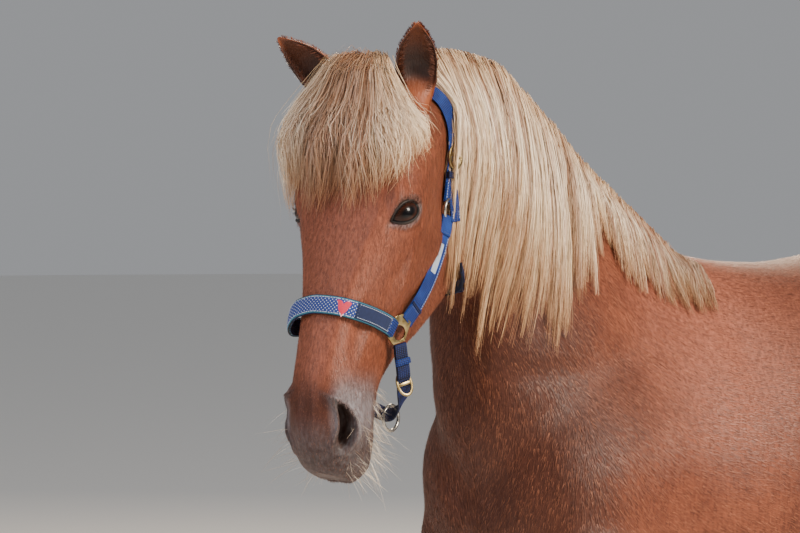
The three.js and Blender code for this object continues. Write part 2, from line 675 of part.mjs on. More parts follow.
// Headcollar, by angles around the head; "side" is 1 on the left and -1 on the right
const NOSEBAND = { x: 321, behind: 326, loose: 38, width: 27, thick: 5 };
const PLATE = { x: 326, angle: 110, outer: 17, hole: 9.5, thick: 3, lug: 9 };
const CROWN_RING = { x: 122, angle: 119, radius: 15, wire: 2.6 };
const LEAD_RING = { x: 432, z: -222, radius: 19, wire: 2.6 };
const SLIDE = { x: 44, angle: 114, long: 21, wide: 17, thick: 3 };
const HOOK = { from: 141, to: 186, angleFrom: 128, angleTo: 137 };

const noseband = {
  path: [-100, -78, -58, -38, -18, 0, 18, 38, 58, 78, 100].map((angle) => {
    const behind = (angle / 100) ** 2;
    const loose = angle < 0 ? NOSEBAND.loose * Math.sin((angle / -100) * Math.PI) ** 2 : 0;
    const x = NOSEBAND.x + (NOSEBAND.behind - NOSEBAND.x) * behind + loose * 0.6;
    return onHead(x, angle, STRAP.lift + loose * 0.4);
  }),
  count: 22,
  width: NOSEBAND.width,
  thick: NOSEBAND.thick,
};

function sidePlate(side, more = 0) {
  const depth = PLATE.thick + 2 * more;
  const disc = new THREE.CylinderGeometry(PLATE.outer + more, PLATE.outer + more, depth, 12);
  disc.rotateX(Math.PI / 2).translate(0, 0, PLATE.thick / 2);
  const seat = facingForward(onHead(PLATE.x, side * PLATE.angle, STRAP.lift + 3), 0.6);
  const made = [seated(disc, seat, alongNose)];
  for (const [x, y] of [[-1, 0], [1, 0], [0, side]]) {
    const long = STRAP.width + 2 * more;
    const wide = PLATE.lug + 2 * more;
    const lug = new THREE.BoxGeometry(x ? wide : long, x ? long : wide, depth);
    const reach = PLATE.outer + PLATE.lug / 2 - 3;
    made.push(seated(lug.translate(x * reach, y * reach, PLATE.thick / 2), seat, alongNose));
  }
  const open = new THREE.CylinderGeometry(PLATE.hole - more, PLATE.hole - more, 30, 12).rotateX(Math.PI / 2);
  return join(made).subtract(seated(open, seat, alongNose));
}

const cheekpiece = (side) => ({
  path: [
    [PLATE.x - 12, PLATE.angle],
    [270, PLATE.angle + 1],
    [230, PLATE.angle + 3],
    [190, PLATE.angle + 5],
    [155, CROWN_RING.angle],
    [CROWN_RING.x + 10, CROWN_RING.angle],
  ].map(([x, angle]) => facingForward(onHead(x, side * angle, STRAP.lift + 3.5))),
  count: 12,
});

function crownRing(side, more = 0) {
  const seat = onHead(CROWN_RING.x, side * CROWN_RING.angle, STRAP.lift + CROWN_RING.wire + 1);
  return seated(new THREE.TorusGeometry(CROWN_RING.radius, CROWN_RING.wire + more, 6, 14), seat, alongNose);
}

function crownStrap() {
  const half = [
    [CROWN_RING.x - 9, CROWN_RING.angle],
    [80, 117],
    [SLIDE.x, SLIDE.angle],
    [12, 104],
    [-14, 88],
    [-30, 68],
    [-34, 46],
    [-30, 24],
  ];
  const laid = (side) =>
    half.map(([x, angle]) => facingForward(onHead(x, side * angle, STRAP.lift + 0.5), angle > 80 ? 0.4 : 0));
  const [left, right] = [laid(1), laid(-1).reverse()];
  return { path: [...left, onHead(-26, 0, STRAP.lift + 0.5), ...right], count: 28 };
}

// The buckled end of the crown strap, doubled back over it and hanging free
const crownEnd = {
  path: [
    [14, 103, 3.6],
    [SLIDE.x, SLIDE.angle, 3.6],
    [80, 118, 4.2],
    [110, 123, 9],
    [136, 127, 13],
  ].map(([x, angle, lift]) => facingForward(onHead(x, angle, STRAP.lift + 0.5 + lift), 0.4)),
  count: 9,
  width: STRAP.width - 2,
};

function slide(more = 0) {
  const shape = new THREE.Shape().absellipse(0, 0, SLIDE.long + more, SLIDE.wide + more, 0, 2 * Math.PI);
  const depth = SLIDE.thick + 2 * more;
  const plate = new THREE.ExtrudeGeometry(shape, { depth, bevelEnabled: false, curveSegments: 10 });
  const lift = STRAP.lift + 0.5 + 3.6 + STRAP.thick + 0.4;
  const seat = facingForward(onHead(SLIDE.x, SLIDE.angle, lift), 0.4);
  return seated(plate.translate(0, 0, -more), seat, alongNose);
}

// Snap hook: a swivel and a long link that hangs from the left ring
function hook(more = 0) {
  const [top, low] = [
    onHead(HOOK.from, HOOK.angleFrom, 7),
    onHead(HOOK.to, HOOK.angleTo, 7),
  ];
  const along = low.at.clone().sub(top.at);
  const length = along.length();
  const link = new THREE.TorusGeometry(9, 2.4 + more, 6, 12).scale(2.1, 1, 1).translate(length * 0.6, 0, 0);
  const swivel = new THREE.CylinderGeometry(4.5 + more, 4.5 + more, length * 0.3, 8).rotateZ(Math.PI / 2);
  return join([
    seated(link, top, along),
    seated(swivel.translate(length * 0.15, 0, 0), top, along),
  ]);
}

const throatStrap = {
  path: [
    [194, 68, -226],
    [202, 61, -246],
    [208, 47, -266],
    [212, 24, -279],
    [213, 0, -283],
    [212, -24, -279],
    [208, -47, -266],
    [200, -62, -246],
    [184, -72, -222],
    [160, -80, -200],
    [140, -82, -184],
  ].map(([x, y, z]) => besideHead(x, y, z)),
  count: 12,
  width: 20,
};

const CHIN_UNDER = 0.45; // how much the chin strap faces down rather than out
function chinStrap() {
  const half = [
    [PLATE.x + 14, 58, -128],
    [366, 58, -144],
    [396, 50, -170],
    [420, 26, -201],
  ];
  const left = half.map(([x, y, z]) => besideHead(x, y, z, CHIN_UNDER));
  const right = half.map(([x, y, z]) => besideHead(x, -y, z, CHIN_UNDER)).reverse();
  const middle = besideHead(LEAD_RING.x - 3, 0, LEAD_RING.z + 10);
  return { path: [...left, middle, ...right], count: 14, width: 22 };
}

function leadRing(more = 0) {
  const ring = new THREE.TorusGeometry(LEAD_RING.radius, LEAD_RING.wire + more, 6, 16);
  ring.rotateX(Math.PI / 2).translate(LEAD_RING.x, 0, LEAD_RING.z);
  return inHead(ring);
}

// Hair: flat locks, each with a sunk root and a thin tip, that overlap along their lie
const LOCK_ROWS = [
  { at: 0, width: 0.5, thick: 0.8 },
  { at: 0.3, width: 1, thick: 1 },
  { at: 0.75, width: 0.85, thick: 0.75 },
  { at: 1, width: 0.08, thick: 0.15 },
];
const lockSizes = sizes(LOCK_ROWS);

function lock({ path, width, thick, steps = 6 }) {
  const rings = evenly(path, steps).map(({ at, out, side }, i) => {
    const share = lockSizes(i / steps);
    const half = (share.width * width) / 2;
    const ridge = at.clone().addScaledVector(out, share.thick * thick);
    const edges = [half, -half].map((across) => at.clone().addScaledVector(side, across));
    return [edges[0], ridge, edges[1]].map(turned);
  });
  return solid(loft(rings));
}

const MANE_ROWS = [
  { at: 0.02, fall: 70, drift: -24, width: 40 },
  { at: 0.15, fall: 105, drift: -15, width: 44 },
  { at: 0.34, fall: 122, drift: -24, width: 50 },
  { at: 0.44, fall: 118, drift: -26, width: 50 },
  { at: 0.5, fall: 190, drift: -62, width: 52 },
  { at: 0.56, fall: 245, drift: -72, width: 54 },
  { at: 0.65, fall: 335, drift: -75, width: 56 },
  { at: 0.75, fall: 360, drift: -74, width: 56 },
  { at: 0.85, fall: 372, drift: -34, width: 52 },
  { at: 0.95, fall: 335, drift: -10, width: 46 },
  { at: 1.06, fall: 300, drift: 0, width: 36 },
];
const MANE = { locks: 21, thick: 8, lower: 8, upper: 17, root: 20, sway: 9, uneven: 0.14 };
const FALL_SHARES = [0.12, 0.3, 0.52, 0.76, 1];

// A fall of mane: from inside the crest, over it and down the left side of the neck
function maneFall(station, { fall, drift }, lift, sway) {
  const { crestX, crestZ } = neckSizes(station);
  const path = [
    { at: vec(crestX, -5, crestZ - MANE.root), out: vec(0, -1, 0) },
    { at: vec(crestX, 2, crestZ + lift + 2), out: vec(0, 0, 1) },
  ];
  let y = 0;
  FALL_SHARES.forEach((share, i) => {
    const x = crestX - drift * share + sway * Math.sin(share * 5);
    const z = crestZ - fall * share;
    const hit = met(vec(x, 500, z), vec(0, -1, 0));
    const back = i ? 0.12 * fall * (share - FALL_SHARES[i - 1]) : 0;
    y = Math.max(hit ? hit.at.y : 8, y - back);
    path.push({ at: vec(x, y + lift, z + lift * (hit ? hit.out.z : 0.8) * 0.6), out: vec(0, 1, 0.3) });
  });
  return path;
}

function maneForm() {
  const size = sizes(MANE_ROWS);
  const chance = seeded(11);
  const [first, last] = [MANE_ROWS[0].at, MANE_ROWS[MANE_ROWS.length - 1].at];
  return Array.from({ length: MANE.locks }, (_, i) => {
    const station = first + ((last - first) * i) / (MANE.locks - 1);
    const row = size(station);
    row.fall *= 1 - MANE.uneven + 2 * MANE.uneven * chance();
    const lift = i % 2 ? MANE.upper : MANE.lower;
    const path = maneFall(station, row, lift, MANE.sway * (2 * chance() - 1));
    return lock({ path, width: row.width * (0.9 + 0.2 * chance()), thick: MANE.thick });
  });
}

// Forelock: a dome of hair over the poll, and locks that fan out over the brow, more of them to the right
const FORELOCK = { locks: 8, from: -64, to: 44, width: 46, thick: 10, shortest: 118, longest: 166 };
const FORELOCK_DOME = { at: [-20, -4, -8], reach: [42, 58, 40] };
const FORELOCK_SHARES = [0.28, 0.52, 0.78, 1];
const FORELOCK_LIFTS = [40, 40, 27, 12];

function forelockForm() {
  const chance = seeded(5);
  const { at, reach } = FORELOCK_DOME;
  const dome = new THREE.SphereGeometry(1, 11, 7).scale(...reach).translate(...at);
  const onDome = (angle, x, share, extra) => {
    const [across, up] = [share * reach[1], share * reach[2] + extra];
    return besideHead(at[0] + x, across * Math.sin(angle), at[2] + up * Math.cos(angle));
  };
  const locks = Array.from({ length: FORELOCK.locks }, (_, i) => {
    const share = i / (FORELOCK.locks - 1);
    const angle = FORELOCK.from + (FORELOCK.to - FORELOCK.from) * share;
    const middle = Math.sin(share * Math.PI);
    const long = FORELOCK.shortest + (FORELOCK.longest - FORELOCK.shortest) * middle * (0.8 + 0.2 * chance());
    const extra = i % 2 ? 7 : 0;
    const turn = THREE.MathUtils.degToRad(angle);
    const path = FORELOCK_SHARES.map((along, k) => {
      const fan = 0.62 + 0.7 * along - 0.3 * along * along;
      return onHead(long * along, angle * fan, FORELOCK_LIFTS[k] + extra);
    });
    path.unshift(onDome(turn, -22, 0.5, 0), onDome(turn, 0, 0.97, extra));
    return lock({ path, width: FORELOCK.width, thick: FORELOCK.thick, steps: 5 });
  });
  return [inHead(dome), ...locks];
}

// Tail locks hang around the dock, the upper ones over the lower
const TAIL = { locks: 8, width: 54, thick: 12, core: 0.6, lower: 0.78, upper: 1, first: 40, last: 230 };
function tailForm() {
  const size = sizes(TAIL_HAIR);
  const chance = seeded(23);
  return Array.from({ length: TAIL.locks }, (_, i) => {
    const angle = i * 2.4;
    const away = i % 2 ? TAIL.lower : TAIL.upper;
    const from = TAIL.first + ((TAIL.last - TAIL.first) * i) / (TAIL.locks - 1);
    const to = 800 + 80 * chance();
    const path = [0, 0.12, 0.35, 0.6, 0.82, 1].map((share, k) => {
      const at = from + (to - from) * share;
      return aroundLimb(size, at, angle + 0.25 * Math.sin(share * 4 + i), k === 0 ? 0.35 : away);
    });
    return lock({ path, width: TAIL.width, thick: TAIL.thick });
  });
}

// Feather: short locks behind each fetlock, that hang towards the heel
const FEATHER = { at: -178, long: 72, width: 22, thick: 9 };
function feather(rows, name) {
  const side = name.endsWith("left") ? 1 : -1;
  const { x, y, long, wide } = sizes(rows)(FEATHER.at);
  const middle = x + carried(STRIDES[name], -FEATHER.at, -rows[0].at);
  return [-0.6, 0.6].map((turn) => {
    const out = vec(-Math.cos(turn), Math.sin(turn), 0);
    const path = [0.4, 1.02, 1.22, 1.08].map((away, k) => {
      const level = -FEATHER.at - (FEATHER.long * k) / 3;
      return { at: vec(middle + out.x * long * away, side * y + out.y * wide * away, level), out };
    });
    return lock({ path, width: FEATHER.width, thick: FEATHER.thick, steps: 3 });
  });
}

// Body as one solid, then parted
const LEGS = Object.keys(STRIDES);
const rowsOf = (name) => (name.startsWith("fore") ? FORELEG : HINDLEG);
const neckSolid = solid(loft(neckRings().map((ring) => ring.map(turned))));
const legs = LEGS.map((name) => leg(rowsOf(name), name));
let body = join([solid(loft(trunkRings())), neckSolid, inHead(headSkin), ...legs, limb(DOCK, 60, 10)]);

const horse = new THREE.Group();
const finish = (color, roughness, metalness = 0) =>
  new THREE.MeshStandardMaterial({ color, roughness, metalness });
function put(name, made, material) {
  const mesh = new THREE.Mesh(geometryOf(largest(made)), material);
  mesh.name = name;
  horse.add(mesh);
}
const coat = () => finish(0x9a5a35, 0.6);
const webbing = () => finish(0x35569c, 0.7);
const metal = () => finish(0xb9a98a, 0.35, 0.9);

for (const name of LEGS) {
  const [part, others] = parted(body, (more) => legRegion(name, more));
  const horn = hoof(rowsOf(name), name);
  put(name, join([part, ...feather(rowsOf(name), name)]).subtract(horn), coat());
  put(name.replace("leg", "hoof"), horn, finish(0x4a4038, 0.5));
  body = largest(others);
}
let [head, behindHead] = parted(body, headRegion);
let [neckPart, behindNeck] = parted(largest(behindHead), neckRegion);
let [tailPart, torso] = parted(largest(behindNeck), tailRegion);
torso = largest(torso);

for (const [side, sign] of [["left", 1], ["right", -1]]) {
  const socket = inHead(ball(EYE, EYE_RADIUS + GAP, sign));
  head = head.add(inHead(ball(EYE, EYE_RADIUS + LID, sign)));
  head = head.subtract(socket).subtract(inHead(eyeOpening(sign))).subtract(inHead(nostril(sign)));
  put("eye_" + side, inHead(ball(EYE, EYE_RADIUS, sign)), finish(0x20140f, 0.1));
}
head = largest(head.subtract(mouth()));

const ears = [1, -1].map((sign) => {
  const { x, y, z } = EAR_UPS[sign];
  const lift = vec(x, y * sign, z).transformDirection(headPlace).multiplyScalar(GAP);
  const under = head.add(neckPart);
  return largest(ear(sign).subtract(under).subtract(under.translate(lift.toArray())));
});
put("ear_left", ears[0], coat());
put("ear_right", ears[1], coat());

// The headcollar, each piece cut clear of the ones it meets
const skinAndEars = join([head, neckPart, ...ears]);
const metals = (more) => [
  sidePlate(1, more),
  sidePlate(-1, more),
  crownRing(1, more),
  crownRing(-1, more),
  leadRing(more),
  slide(more),
];
const plain = metals(0);
const METAL_NAMES = [
  "side_plate_left",
  "side_plate_right",
  "crown_ring_left",
  "crown_ring_right",
  "lead_ring",
  "crown_slide",
];
METAL_NAMES.forEach((name, i) => put(name, plain[i].subtract(skinAndEars), metal()));
put("snap_hook", hook().subtract(skinAndEars).subtract(crownRing(1, GAP)), metal());

let collar = join([...metals(GAP), hook(GAP)]);
for (const [name, shape] of Object.entries({
  crown_strap: crownStrap(),
  crown_strap_end: crownEnd,
  cheekpiece_left: cheekpiece(1),
  cheekpiece_right: cheekpiece(-1),
  noseband,
  throat_strap: throatStrap,
  chin_strap: chinStrap(),
})) {
  put(name, strap(shape).subtract(collar).subtract(skinAndEars), webbing());
  collar = collar.add(strap(shape, GAP));
}

// Hair, cut clear of everything it doesn't grow from
const beside = (made) => made.add(made.translate([0, GAP, 0]));
const bare = join([collar, ...ears, ...[1, -1].map((sign) => inHead(ball(EYE, EYE_RADIUS + LID, sign)))]);
const mane = join(maneForm()).subtract(join([bare, beside(head), beside(torso)]));
neckPart = largest(neckPart.add(mane));
const forelock = join(forelockForm()).subtract(join([bare, beside(neckPart)]));
head = head.add(forelock);
const tailHair = join([limb(TAIL_HAIR, 110, 10, TAIL.core), ...tailForm()]);
tailPart = tailPart.add(tailHair.subtract(torso).subtract(torso.translate([-GAP, 0, 0])));

put("head", head, coat());
put("neck", neckPart, coat());
put("torso", torso, coat());
put("tail", tailPart, coat());
horse.position.set(...FRAME_SHIFT);

export default horse;
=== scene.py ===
import math

import bmesh
import bpy
import numpy as np
from mathutils import Matrix, Vector
from mathutils.bvhtree import BVHTree


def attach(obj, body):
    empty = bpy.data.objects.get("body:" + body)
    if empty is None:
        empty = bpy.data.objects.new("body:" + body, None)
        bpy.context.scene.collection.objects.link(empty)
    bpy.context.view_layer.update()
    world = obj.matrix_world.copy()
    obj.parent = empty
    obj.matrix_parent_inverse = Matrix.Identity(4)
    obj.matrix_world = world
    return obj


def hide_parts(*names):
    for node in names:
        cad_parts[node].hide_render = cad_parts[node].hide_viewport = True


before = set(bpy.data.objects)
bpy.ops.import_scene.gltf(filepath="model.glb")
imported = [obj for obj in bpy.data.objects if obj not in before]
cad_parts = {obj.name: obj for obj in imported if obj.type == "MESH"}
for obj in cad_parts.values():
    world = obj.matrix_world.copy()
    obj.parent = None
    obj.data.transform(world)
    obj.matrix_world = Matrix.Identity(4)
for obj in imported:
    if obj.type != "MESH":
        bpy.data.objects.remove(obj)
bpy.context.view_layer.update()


# The camera stands ahead of the horse's left shoulder, a little under the height of its poll.
# A long lens keeps the head, the neck and the start of the back in the frame.
CAMERA_AT = (3.004, 2.955, 1.531)
CAMERA_TURN = 52
CAMERA_DOWN = 2.4
LENS = 109.4
SENSOR = 36

camera_data = bpy.data.cameras.new("camera")
camera_data.sensor_width = SENSOR
camera_data.lens = LENS
camera_data.dof.use_dof = False
camera = bpy.data.objects.new("camera", camera_data)
bpy.context.scene.collection.objects.link(camera)
camera.location = CAMERA_AT
camera.rotation_euler = (math.radians(90 - CAMERA_DOWN), 0, math.radians(90 + CAMERA_TURN))
bpy.context.scene.camera = camera


# The studio: a plain pale floor under a pale sky, one soft lamp high on the horse's left,
# a weaker one ahead of it and a warmer one behind, which rims the crest and the ears.
def linear(hexadecimal):
    """An sRGB hex colour as the linear one that a shader takes."""
    parts = [int(hexadecimal[i:i + 2], 16) / 255 for i in (1, 3, 5)]
    return tuple(c / 12.92 if c <= 0.04045 else ((c + 0.055) / 1.055) ** 2.4 for c in parts) + (1,)


def material(name):
    """A new node material, with its tree and its principled shader."""
    made = bpy.data.materials.new(name)
    made.use_nodes = True
    return made, made.node_tree, made.node_tree.nodes["Principled BSDF"]


def node(tree, kind, links=(), **settings):
    """Adds a node, sets its properties and inputs, and links its inputs from sockets."""
    made = tree.nodes.new(kind)
    for key, value in settings.items():
        if key.startswith("in_"):
            made.inputs[int(key[3:])].default_value = value
        else:
            setattr(made, key, value)
    for socket, source in dict(links).items():
        tree.links.new(source, made.inputs[socket])
    return made


def surface(tree, shader, colour, rough, bump=None, more=()):
    """Sets a shader's colour, roughness and further inputs, each from a socket, a hex colour or a number.

    "bump" is a height, its strength and how many metres it stands out."""
    for name, value in {"Base Color": colour, "Roughness": rough, **dict(more)}.items():
        if isinstance(value, bpy.types.NodeSocket):
            tree.links.new(value, shader.inputs[name])
        else:
            shader.inputs[name].default_value = linear(value) if isinstance(value, str) else value
    if bump:
        made = node(tree, "ShaderNodeBump", {"Height": bump[0]})
        made.inputs["Strength"].default_value, made.inputs["Distance"].default_value = bump[1:]
        tree.links.new(made.outputs[0], shader.inputs["Normal"])


FLOOR_HALF = 30
floor_mesh = bpy.data.meshes.new("floor")
shape = bmesh.new()
bmesh.ops.create_circle(shape, cap_ends=True, segments=64, radius=FLOOR_HALF)
shape.to_mesh(floor_mesh)
shape.free()
floor = bpy.data.objects.new("floor", floor_mesh)
bpy.context.scene.collection.objects.link(floor)
# Matt warm white, so that the horse's shadow is soft and plain
paper, tree, shader = material("pale_studio_paper")
surface(tree, shader, "#EFEDE9", 0.9)
floor_mesh.materials.append(paper)

sky = bpy.data.worlds.new("studio")
bpy.context.scene.world = sky
sky.use_nodes = True
sky.node_tree.nodes["Background"].inputs["Color"].default_value = linear("#E2E4E8")
sky.node_tree.nodes["Background"].inputs["Strength"].default_value = 0.42

LAMPS = {
    "key": {"at": (-0.4, 4.6, 3.9), "size": 1.6, "watts": 500, "colour": "#FFF3E4"},
    "fill": {"at": (4.6, 0.2, 3.4), "size": 2.6, "watts": 110, "colour": "#F2F4FF"},
    "rim": {"at": (-2.6, -3.4, 4.2), "size": 2.0, "watts": 260, "colour": "#FFE9CC"},
}
LAMPS_FACE = Vector((0.5, 0, 1.15))
for name, lamp in LAMPS.items():
    data = bpy.data.lights.new(name, "AREA")
    data.size = lamp["size"]
    data.energy = lamp["watts"]
    data.color = linear(lamp["colour"])[:3]
    made = bpy.data.objects.new(name, data)
    bpy.context.scene.collection.objects.link(made)
    made.location = lamp["at"]
    made.rotation_euler = (LAMPS_FACE - Vector(lamp["at"])).to_track_quat("-Z", "Y").to_euler()


# The body: one skin of muscle and fat over bone, from smooth sections along trunk, neck, head and legs.
# It is built straight ahead, its neck and head are turned to the left, and a voxel remesh makes it one piece.
SHIFT = np.array([-128.0, 0, 0])  # from the sizes' origin to the frame's
HEAD_TURN = math.radians(16)
TURN_FROM, TURN_TO = 420, 720
FACE_TILT = math.radians(19)
HEAD_ORIGIN = np.array([1000.0, 0, 1634])
COAT_DEPTH = 1.5  # how far the skin lies inside the solids


def through(places, values):
    """A smooth curve with no overshoot through the values at the places, for each column of values."""
    x, y = np.array(places, float), np.array(values, float)
    step = np.diff(x)[:, None]
    rise = np.diff(y, axis=0) / step
    slope = np.concatenate([rise[:1], np.zeros_like(y[1:-1]), rise[-1:]])
    before, after = 2 * step[1:] + step[:-1], step[1:] + 2 * step[:-1]
    same = rise[:-1] * rise[1:] > 0
    blend = (before + after) / (before / np.where(same, rise[:-1], 1) + after / np.where(same, rise[1:], 1))
    slope[1:-1] = np.where(same, blend, 0)

    def at(place):
        place = np.atleast_1d(np.asarray(place, float))
        i = np.clip(np.searchsorted(x, place) - 1, 0, len(x) - 2)
        h = step[i]
        t = np.clip((place[:, None] - x[i][:, None]) / h, 0, 1)
        ends = (2 * t**3 - 3 * t**2 + 1) * y[i] + (3 * t**2 - 2 * t**3) * y[i + 1]
        return ends + h * ((t**3 - 2 * t**2 + t) * slope[i] + (t**3 - t**2) * slope[i + 1])

    return at


def sizes(rows):
    """Rows of (place, size, size...) as one smooth function of the place."""
    rows = np.array(rows, float)
    return through(rows[:, 0], rows[:, 1:])


def power(value, exponent):
    return np.sign(value) * np.abs(value) ** exponent


def circle(count):
    """Angles once round."""
    return np.linspace(0, 2 * np.pi, count, endpoint=False)


def unit(ways):
    """Ways one long."""
    ways = np.asarray(ways, float)
    return ways / np.maximum(np.linalg.norm(ways, axis=-1, keepdims=True), 1e-9)


def square_to(ways, normals):
    """The part of each way that is square to its normal, one long."""
    return unit(ways - (ways * normals).sum(-1, keepdims=True) * normals)


def turned(points):
    """Bends places on the neck and head, given straight ahead, to the horse's left."""
    points = np.asarray(points, float)
    x, y, z = points[..., 0], points[..., 1], points[..., 2]
    length = TURN_TO - TURN_FROM
    radius = length / HEAD_TURN
    along = x - TURN_FROM
    angle = np.clip(along / length, 0, 1) * HEAD_TURN
    beyond = np.maximum(along - length, 0)
    bent_x = TURN_FROM + radius * np.sin(angle) + beyond * np.cos(angle) - y * np.sin(angle)
    bent_y = radius * (1 - np.cos(angle)) + beyond * np.sin(angle) + y * np.cos(angle)
    ahead = along <= 0
    return np.stack([np.where(ahead, x, bent_x), np.where(ahead, y, bent_y), z], -1)


def in_frame(points):
    """Millimetres along the horse as metres in the frame."""
    return (np.asarray(points) + SHIFT) * 0.001


def wrap(bm, rings, weave=None):
    """A closed shell over rings of equally many points, whose end rings are drawn together.

    "weave" gives each point its place in a woven pattern."""
    rings = np.asarray(rings, float)
    count, around = rings.shape[:2]
    closed = np.concatenate([rings, rings[:, :1]], 1)
    ends = [np.repeat(closed[i].mean(0, keepdims=True), around + 1, 0)[None] for i in (0, -1)]
    places = np.concatenate([ends[0], closed, ends[1]]).reshape(-1, 3)
    layer = None
    if weave is not None:
        layer = bm.verts.layers.float_vector.get("weave") or bm.verts.layers.float_vector.new("weave")
        weave = np.concatenate([weave, weave[:, :1]], 1)
        weave = np.concatenate([weave[:1], weave, weave[-1:]]).reshape(-1, 3)
    made = bmesh.ops.create_grid(bm, x_segments=around, y_segments=count + 1, size=1)
    for i, (vert, place) in enumerate(zip(made["verts"], places)):
        vert.co = place
        if layer is not None:
            vert[layer] = weave[i]
    bmesh.ops.remove_doubles(bm, verts=made["verts"], dist=1e-7)


def piece(bm, name):
    """A bmesh as an object of the horse, facing outward."""
    bmesh.ops.recalc_face_normals(bm, faces=bm.faces)
    mesh = bpy.data.meshes.new(name)
    bm.to_mesh(mesh)
    bm.free()
    mesh.shade_smooth()
    made = bpy.data.objects.new(name, mesh)
    bpy.context.scene.collection.objects.link(made)
    return made


# Rows: place along the horse; top, middle and bottom levels; half width; how far the top narrows
TRUNK = [
    (-742, 1136, 1100, 1064, 28, 0),
    (-728, 1184, 1098, 996, 92, 0),
    (-690, 1242, 1095, 905, 152, 0),
    (-620, 1304, 1092, 845, 200, 0.08),
    (-520, 1352, 1090, 806, 230, 0.14),
    (-400, 1380, 1078, 778, 243, 0.16),
    (-270, 1384, 1045, 744, 249, 0.16),
    (-120, 1374, 1012, 712, 258, 0.12),
    (20, 1362, 990, 690, 262, 0.12),
    (140, 1367, 990, 684, 252, 0.2),
    (240, 1380, 995, 688, 236, 0.34),
    (340, 1384, 1005, 698, 216, 0.42),
    (440, 1368, 1015, 710, 205, 0.42),
    (530, 1322, 1030, 740, 198, 0.36),
    (600, 1258, 1035, 792, 182, 0.24),
    (656, 1190, 1035, 870, 150, 0.1),
    (694, 1130, 1035, 946, 96, 0),
    (708, 1080, 1035, 992, 32, 0),
]
# Rows: station; crest x and z; throat x and z; half width
NECK = [
    (0, 240, 1366, 560, 860, 160),
    (0.2, 335, 1430, 692, 1015, 150),
    (0.4, 440, 1500, 742, 1138, 128),
    (0.6, 562, 1590, 757, 1252, 104),
    (0.8, 700, 1668, 768, 1350, 87),
    (1, 832, 1680, 800, 1430, 76),
    (1.15, 928, 1652, 874, 1482, 64),
]
CREST_NARROW = 0.42
# Rows: height below the hip (negative); middle x and y; half length; half width
FORELEG = [
    (-985, 560, 112, 108, 62),
    (-900, 528, 138, 126, 74),
    (-820, 502, 150, 110, 70),
    (-740, 494, 152, 84, 60),
    (-640, 492, 150, 64, 50),
    (-540, 493, 146, 51, 42),
    (-470, 496, 142, 48, 42),
    (-425, 497, 140, 49, 45),
    (-380, 493, 138, 42, 38),
    (-330, 489, 137, 35, 29),
    (-250, 489, 136, 34, 27),
    (-205, 490, 135, 38, 31),
    (-170, 491, 134, 44, 36),
    (-138, 499, 134, 39, 33),
    (-110, 512, 134, 37, 34),
    (-76, 530, 134, 48, 46),
]
HINDLEG = [
    (-1060, -540, 120, 170, 72),
    (-960, -518, 142, 188, 88),
    (-870, -495, 150, 168, 86),
    (-790, -512, 150, 132, 74),
    (-710, -560, 146, 98, 60),
    (-640, -612, 142, 72, 48),
    (-585, -648, 139, 64, 40),
    (-540, -664, 137, 64, 41),
    (-490, -667, 136, 56, 43),
    (-440, -674, 135, 45, 36),
    (-380, -678, 134, 38, 30),
    (-280, -678, 133, 36, 28),
    (-205, -676, 132, 41, 33),
    (-172, -674, 132, 45, 37),
    (-138, -664, 132, 40, 34),
    (-110, -650, 132, 38, 35),
    (-76, -631, 132, 48, 46),
]
STRIDES = {"foreleg_left": 12, "foreleg_right": -34, "hindleg_left": -28, "hindleg_right": 46}
CORONET_SLOPE = 15
# Rows: down the nose; top; brow half width and drop; crest level and half width; cheek level and half width;
# bottom of the jaw and its half width
HEAD = [
    (-44, -58, 38, 14, -96, 56, -138, 55, -172, 30),
    (0, -22, 48, 14, -78, 72, -140, 68, -202, 38),
    (50, -2, 62, 15, -62, 87, -142, 69, -230, 40),
    (100, 7, 76, 17, -54, 97, -146, 69, -252, 41),
    (150, 10, 85, 20, -50, 103, -154, 68, -262, 42),
    (195, 8, 75, 19, -60, 98, -160, 65, -262, 42),
    (245, 4, 58, 15, -72, 84, -156, 61, -247, 40),
    (300, 1, 44, 12, -72, 68, -138, 54, -214, 35),
    (355, 0, 36, 12, -64, 56, -113, 47, -174, 29),
    (405, -2, 34, 13, -62, 54, -103, 46, -154, 28),
    (445, -6, 35, 14, -62, 58, -104, 50, -153, 31),
    (485, -17, 36, 15, -69, 61, -112, 53, -161, 34),
    (518, -37, 32, 13, -82, 55, -121, 49, -164, 32),
    (541, -60, 23, 9, -95, 42, -124, 38, -154, 23),
    (554, -82, 11, 5, -104, 22, -122, 20, -138, 12),
]
# Rows: down the dock; x and z; half length and width
DOCK = [
    (-30, -690, 1262, 34, 34),
    (0, -728, 1240, 32, 32),
    (60, -772, 1196, 28, 29),
    (150, -796, 1108, 23, 25),
    (260, -800, 1000, 16, 18),
    (330, -800, 930, 7, 8),
]


def trunk_rings(step=30, around=56):
    x = np.arange(TRUNK[0][0], TRUNK[-1][0] + 1, step)
    top, mid, low, half, peak = sizes(TRUNK)(x).T[:, :, None]
    angle = circle(around)[None]
    up = np.cos(angle)
    y = half * (1 - peak * np.maximum(0, up) ** 1.5) * power(np.sin(angle), 0.92)
    z = mid + np.where(up > 0, top - mid, mid - low) * power(up, 0.94)
    return np.stack([np.broadcast_to(x[:, None], y.shape), y, z], -1)


neck_sizes = sizes(NECK)


def neck_place(station, share, side):
    """A place on the neck, where share runs from 0 at the crest to 1 at the throat."""
    crest_x, crest_z, throat_x, throat_z, half = neck_sizes(station).T
    across = 2 * np.sqrt(np.maximum(0, share * (1 - share)))
    narrow = 1 - CREST_NARROW * (1 - share) ** 2
    x = crest_x + (throat_x - crest_x) * share
    z = crest_z + (throat_z - crest_z) * share
    return np.stack([x, side * half * narrow * across**0.9, z], -1)


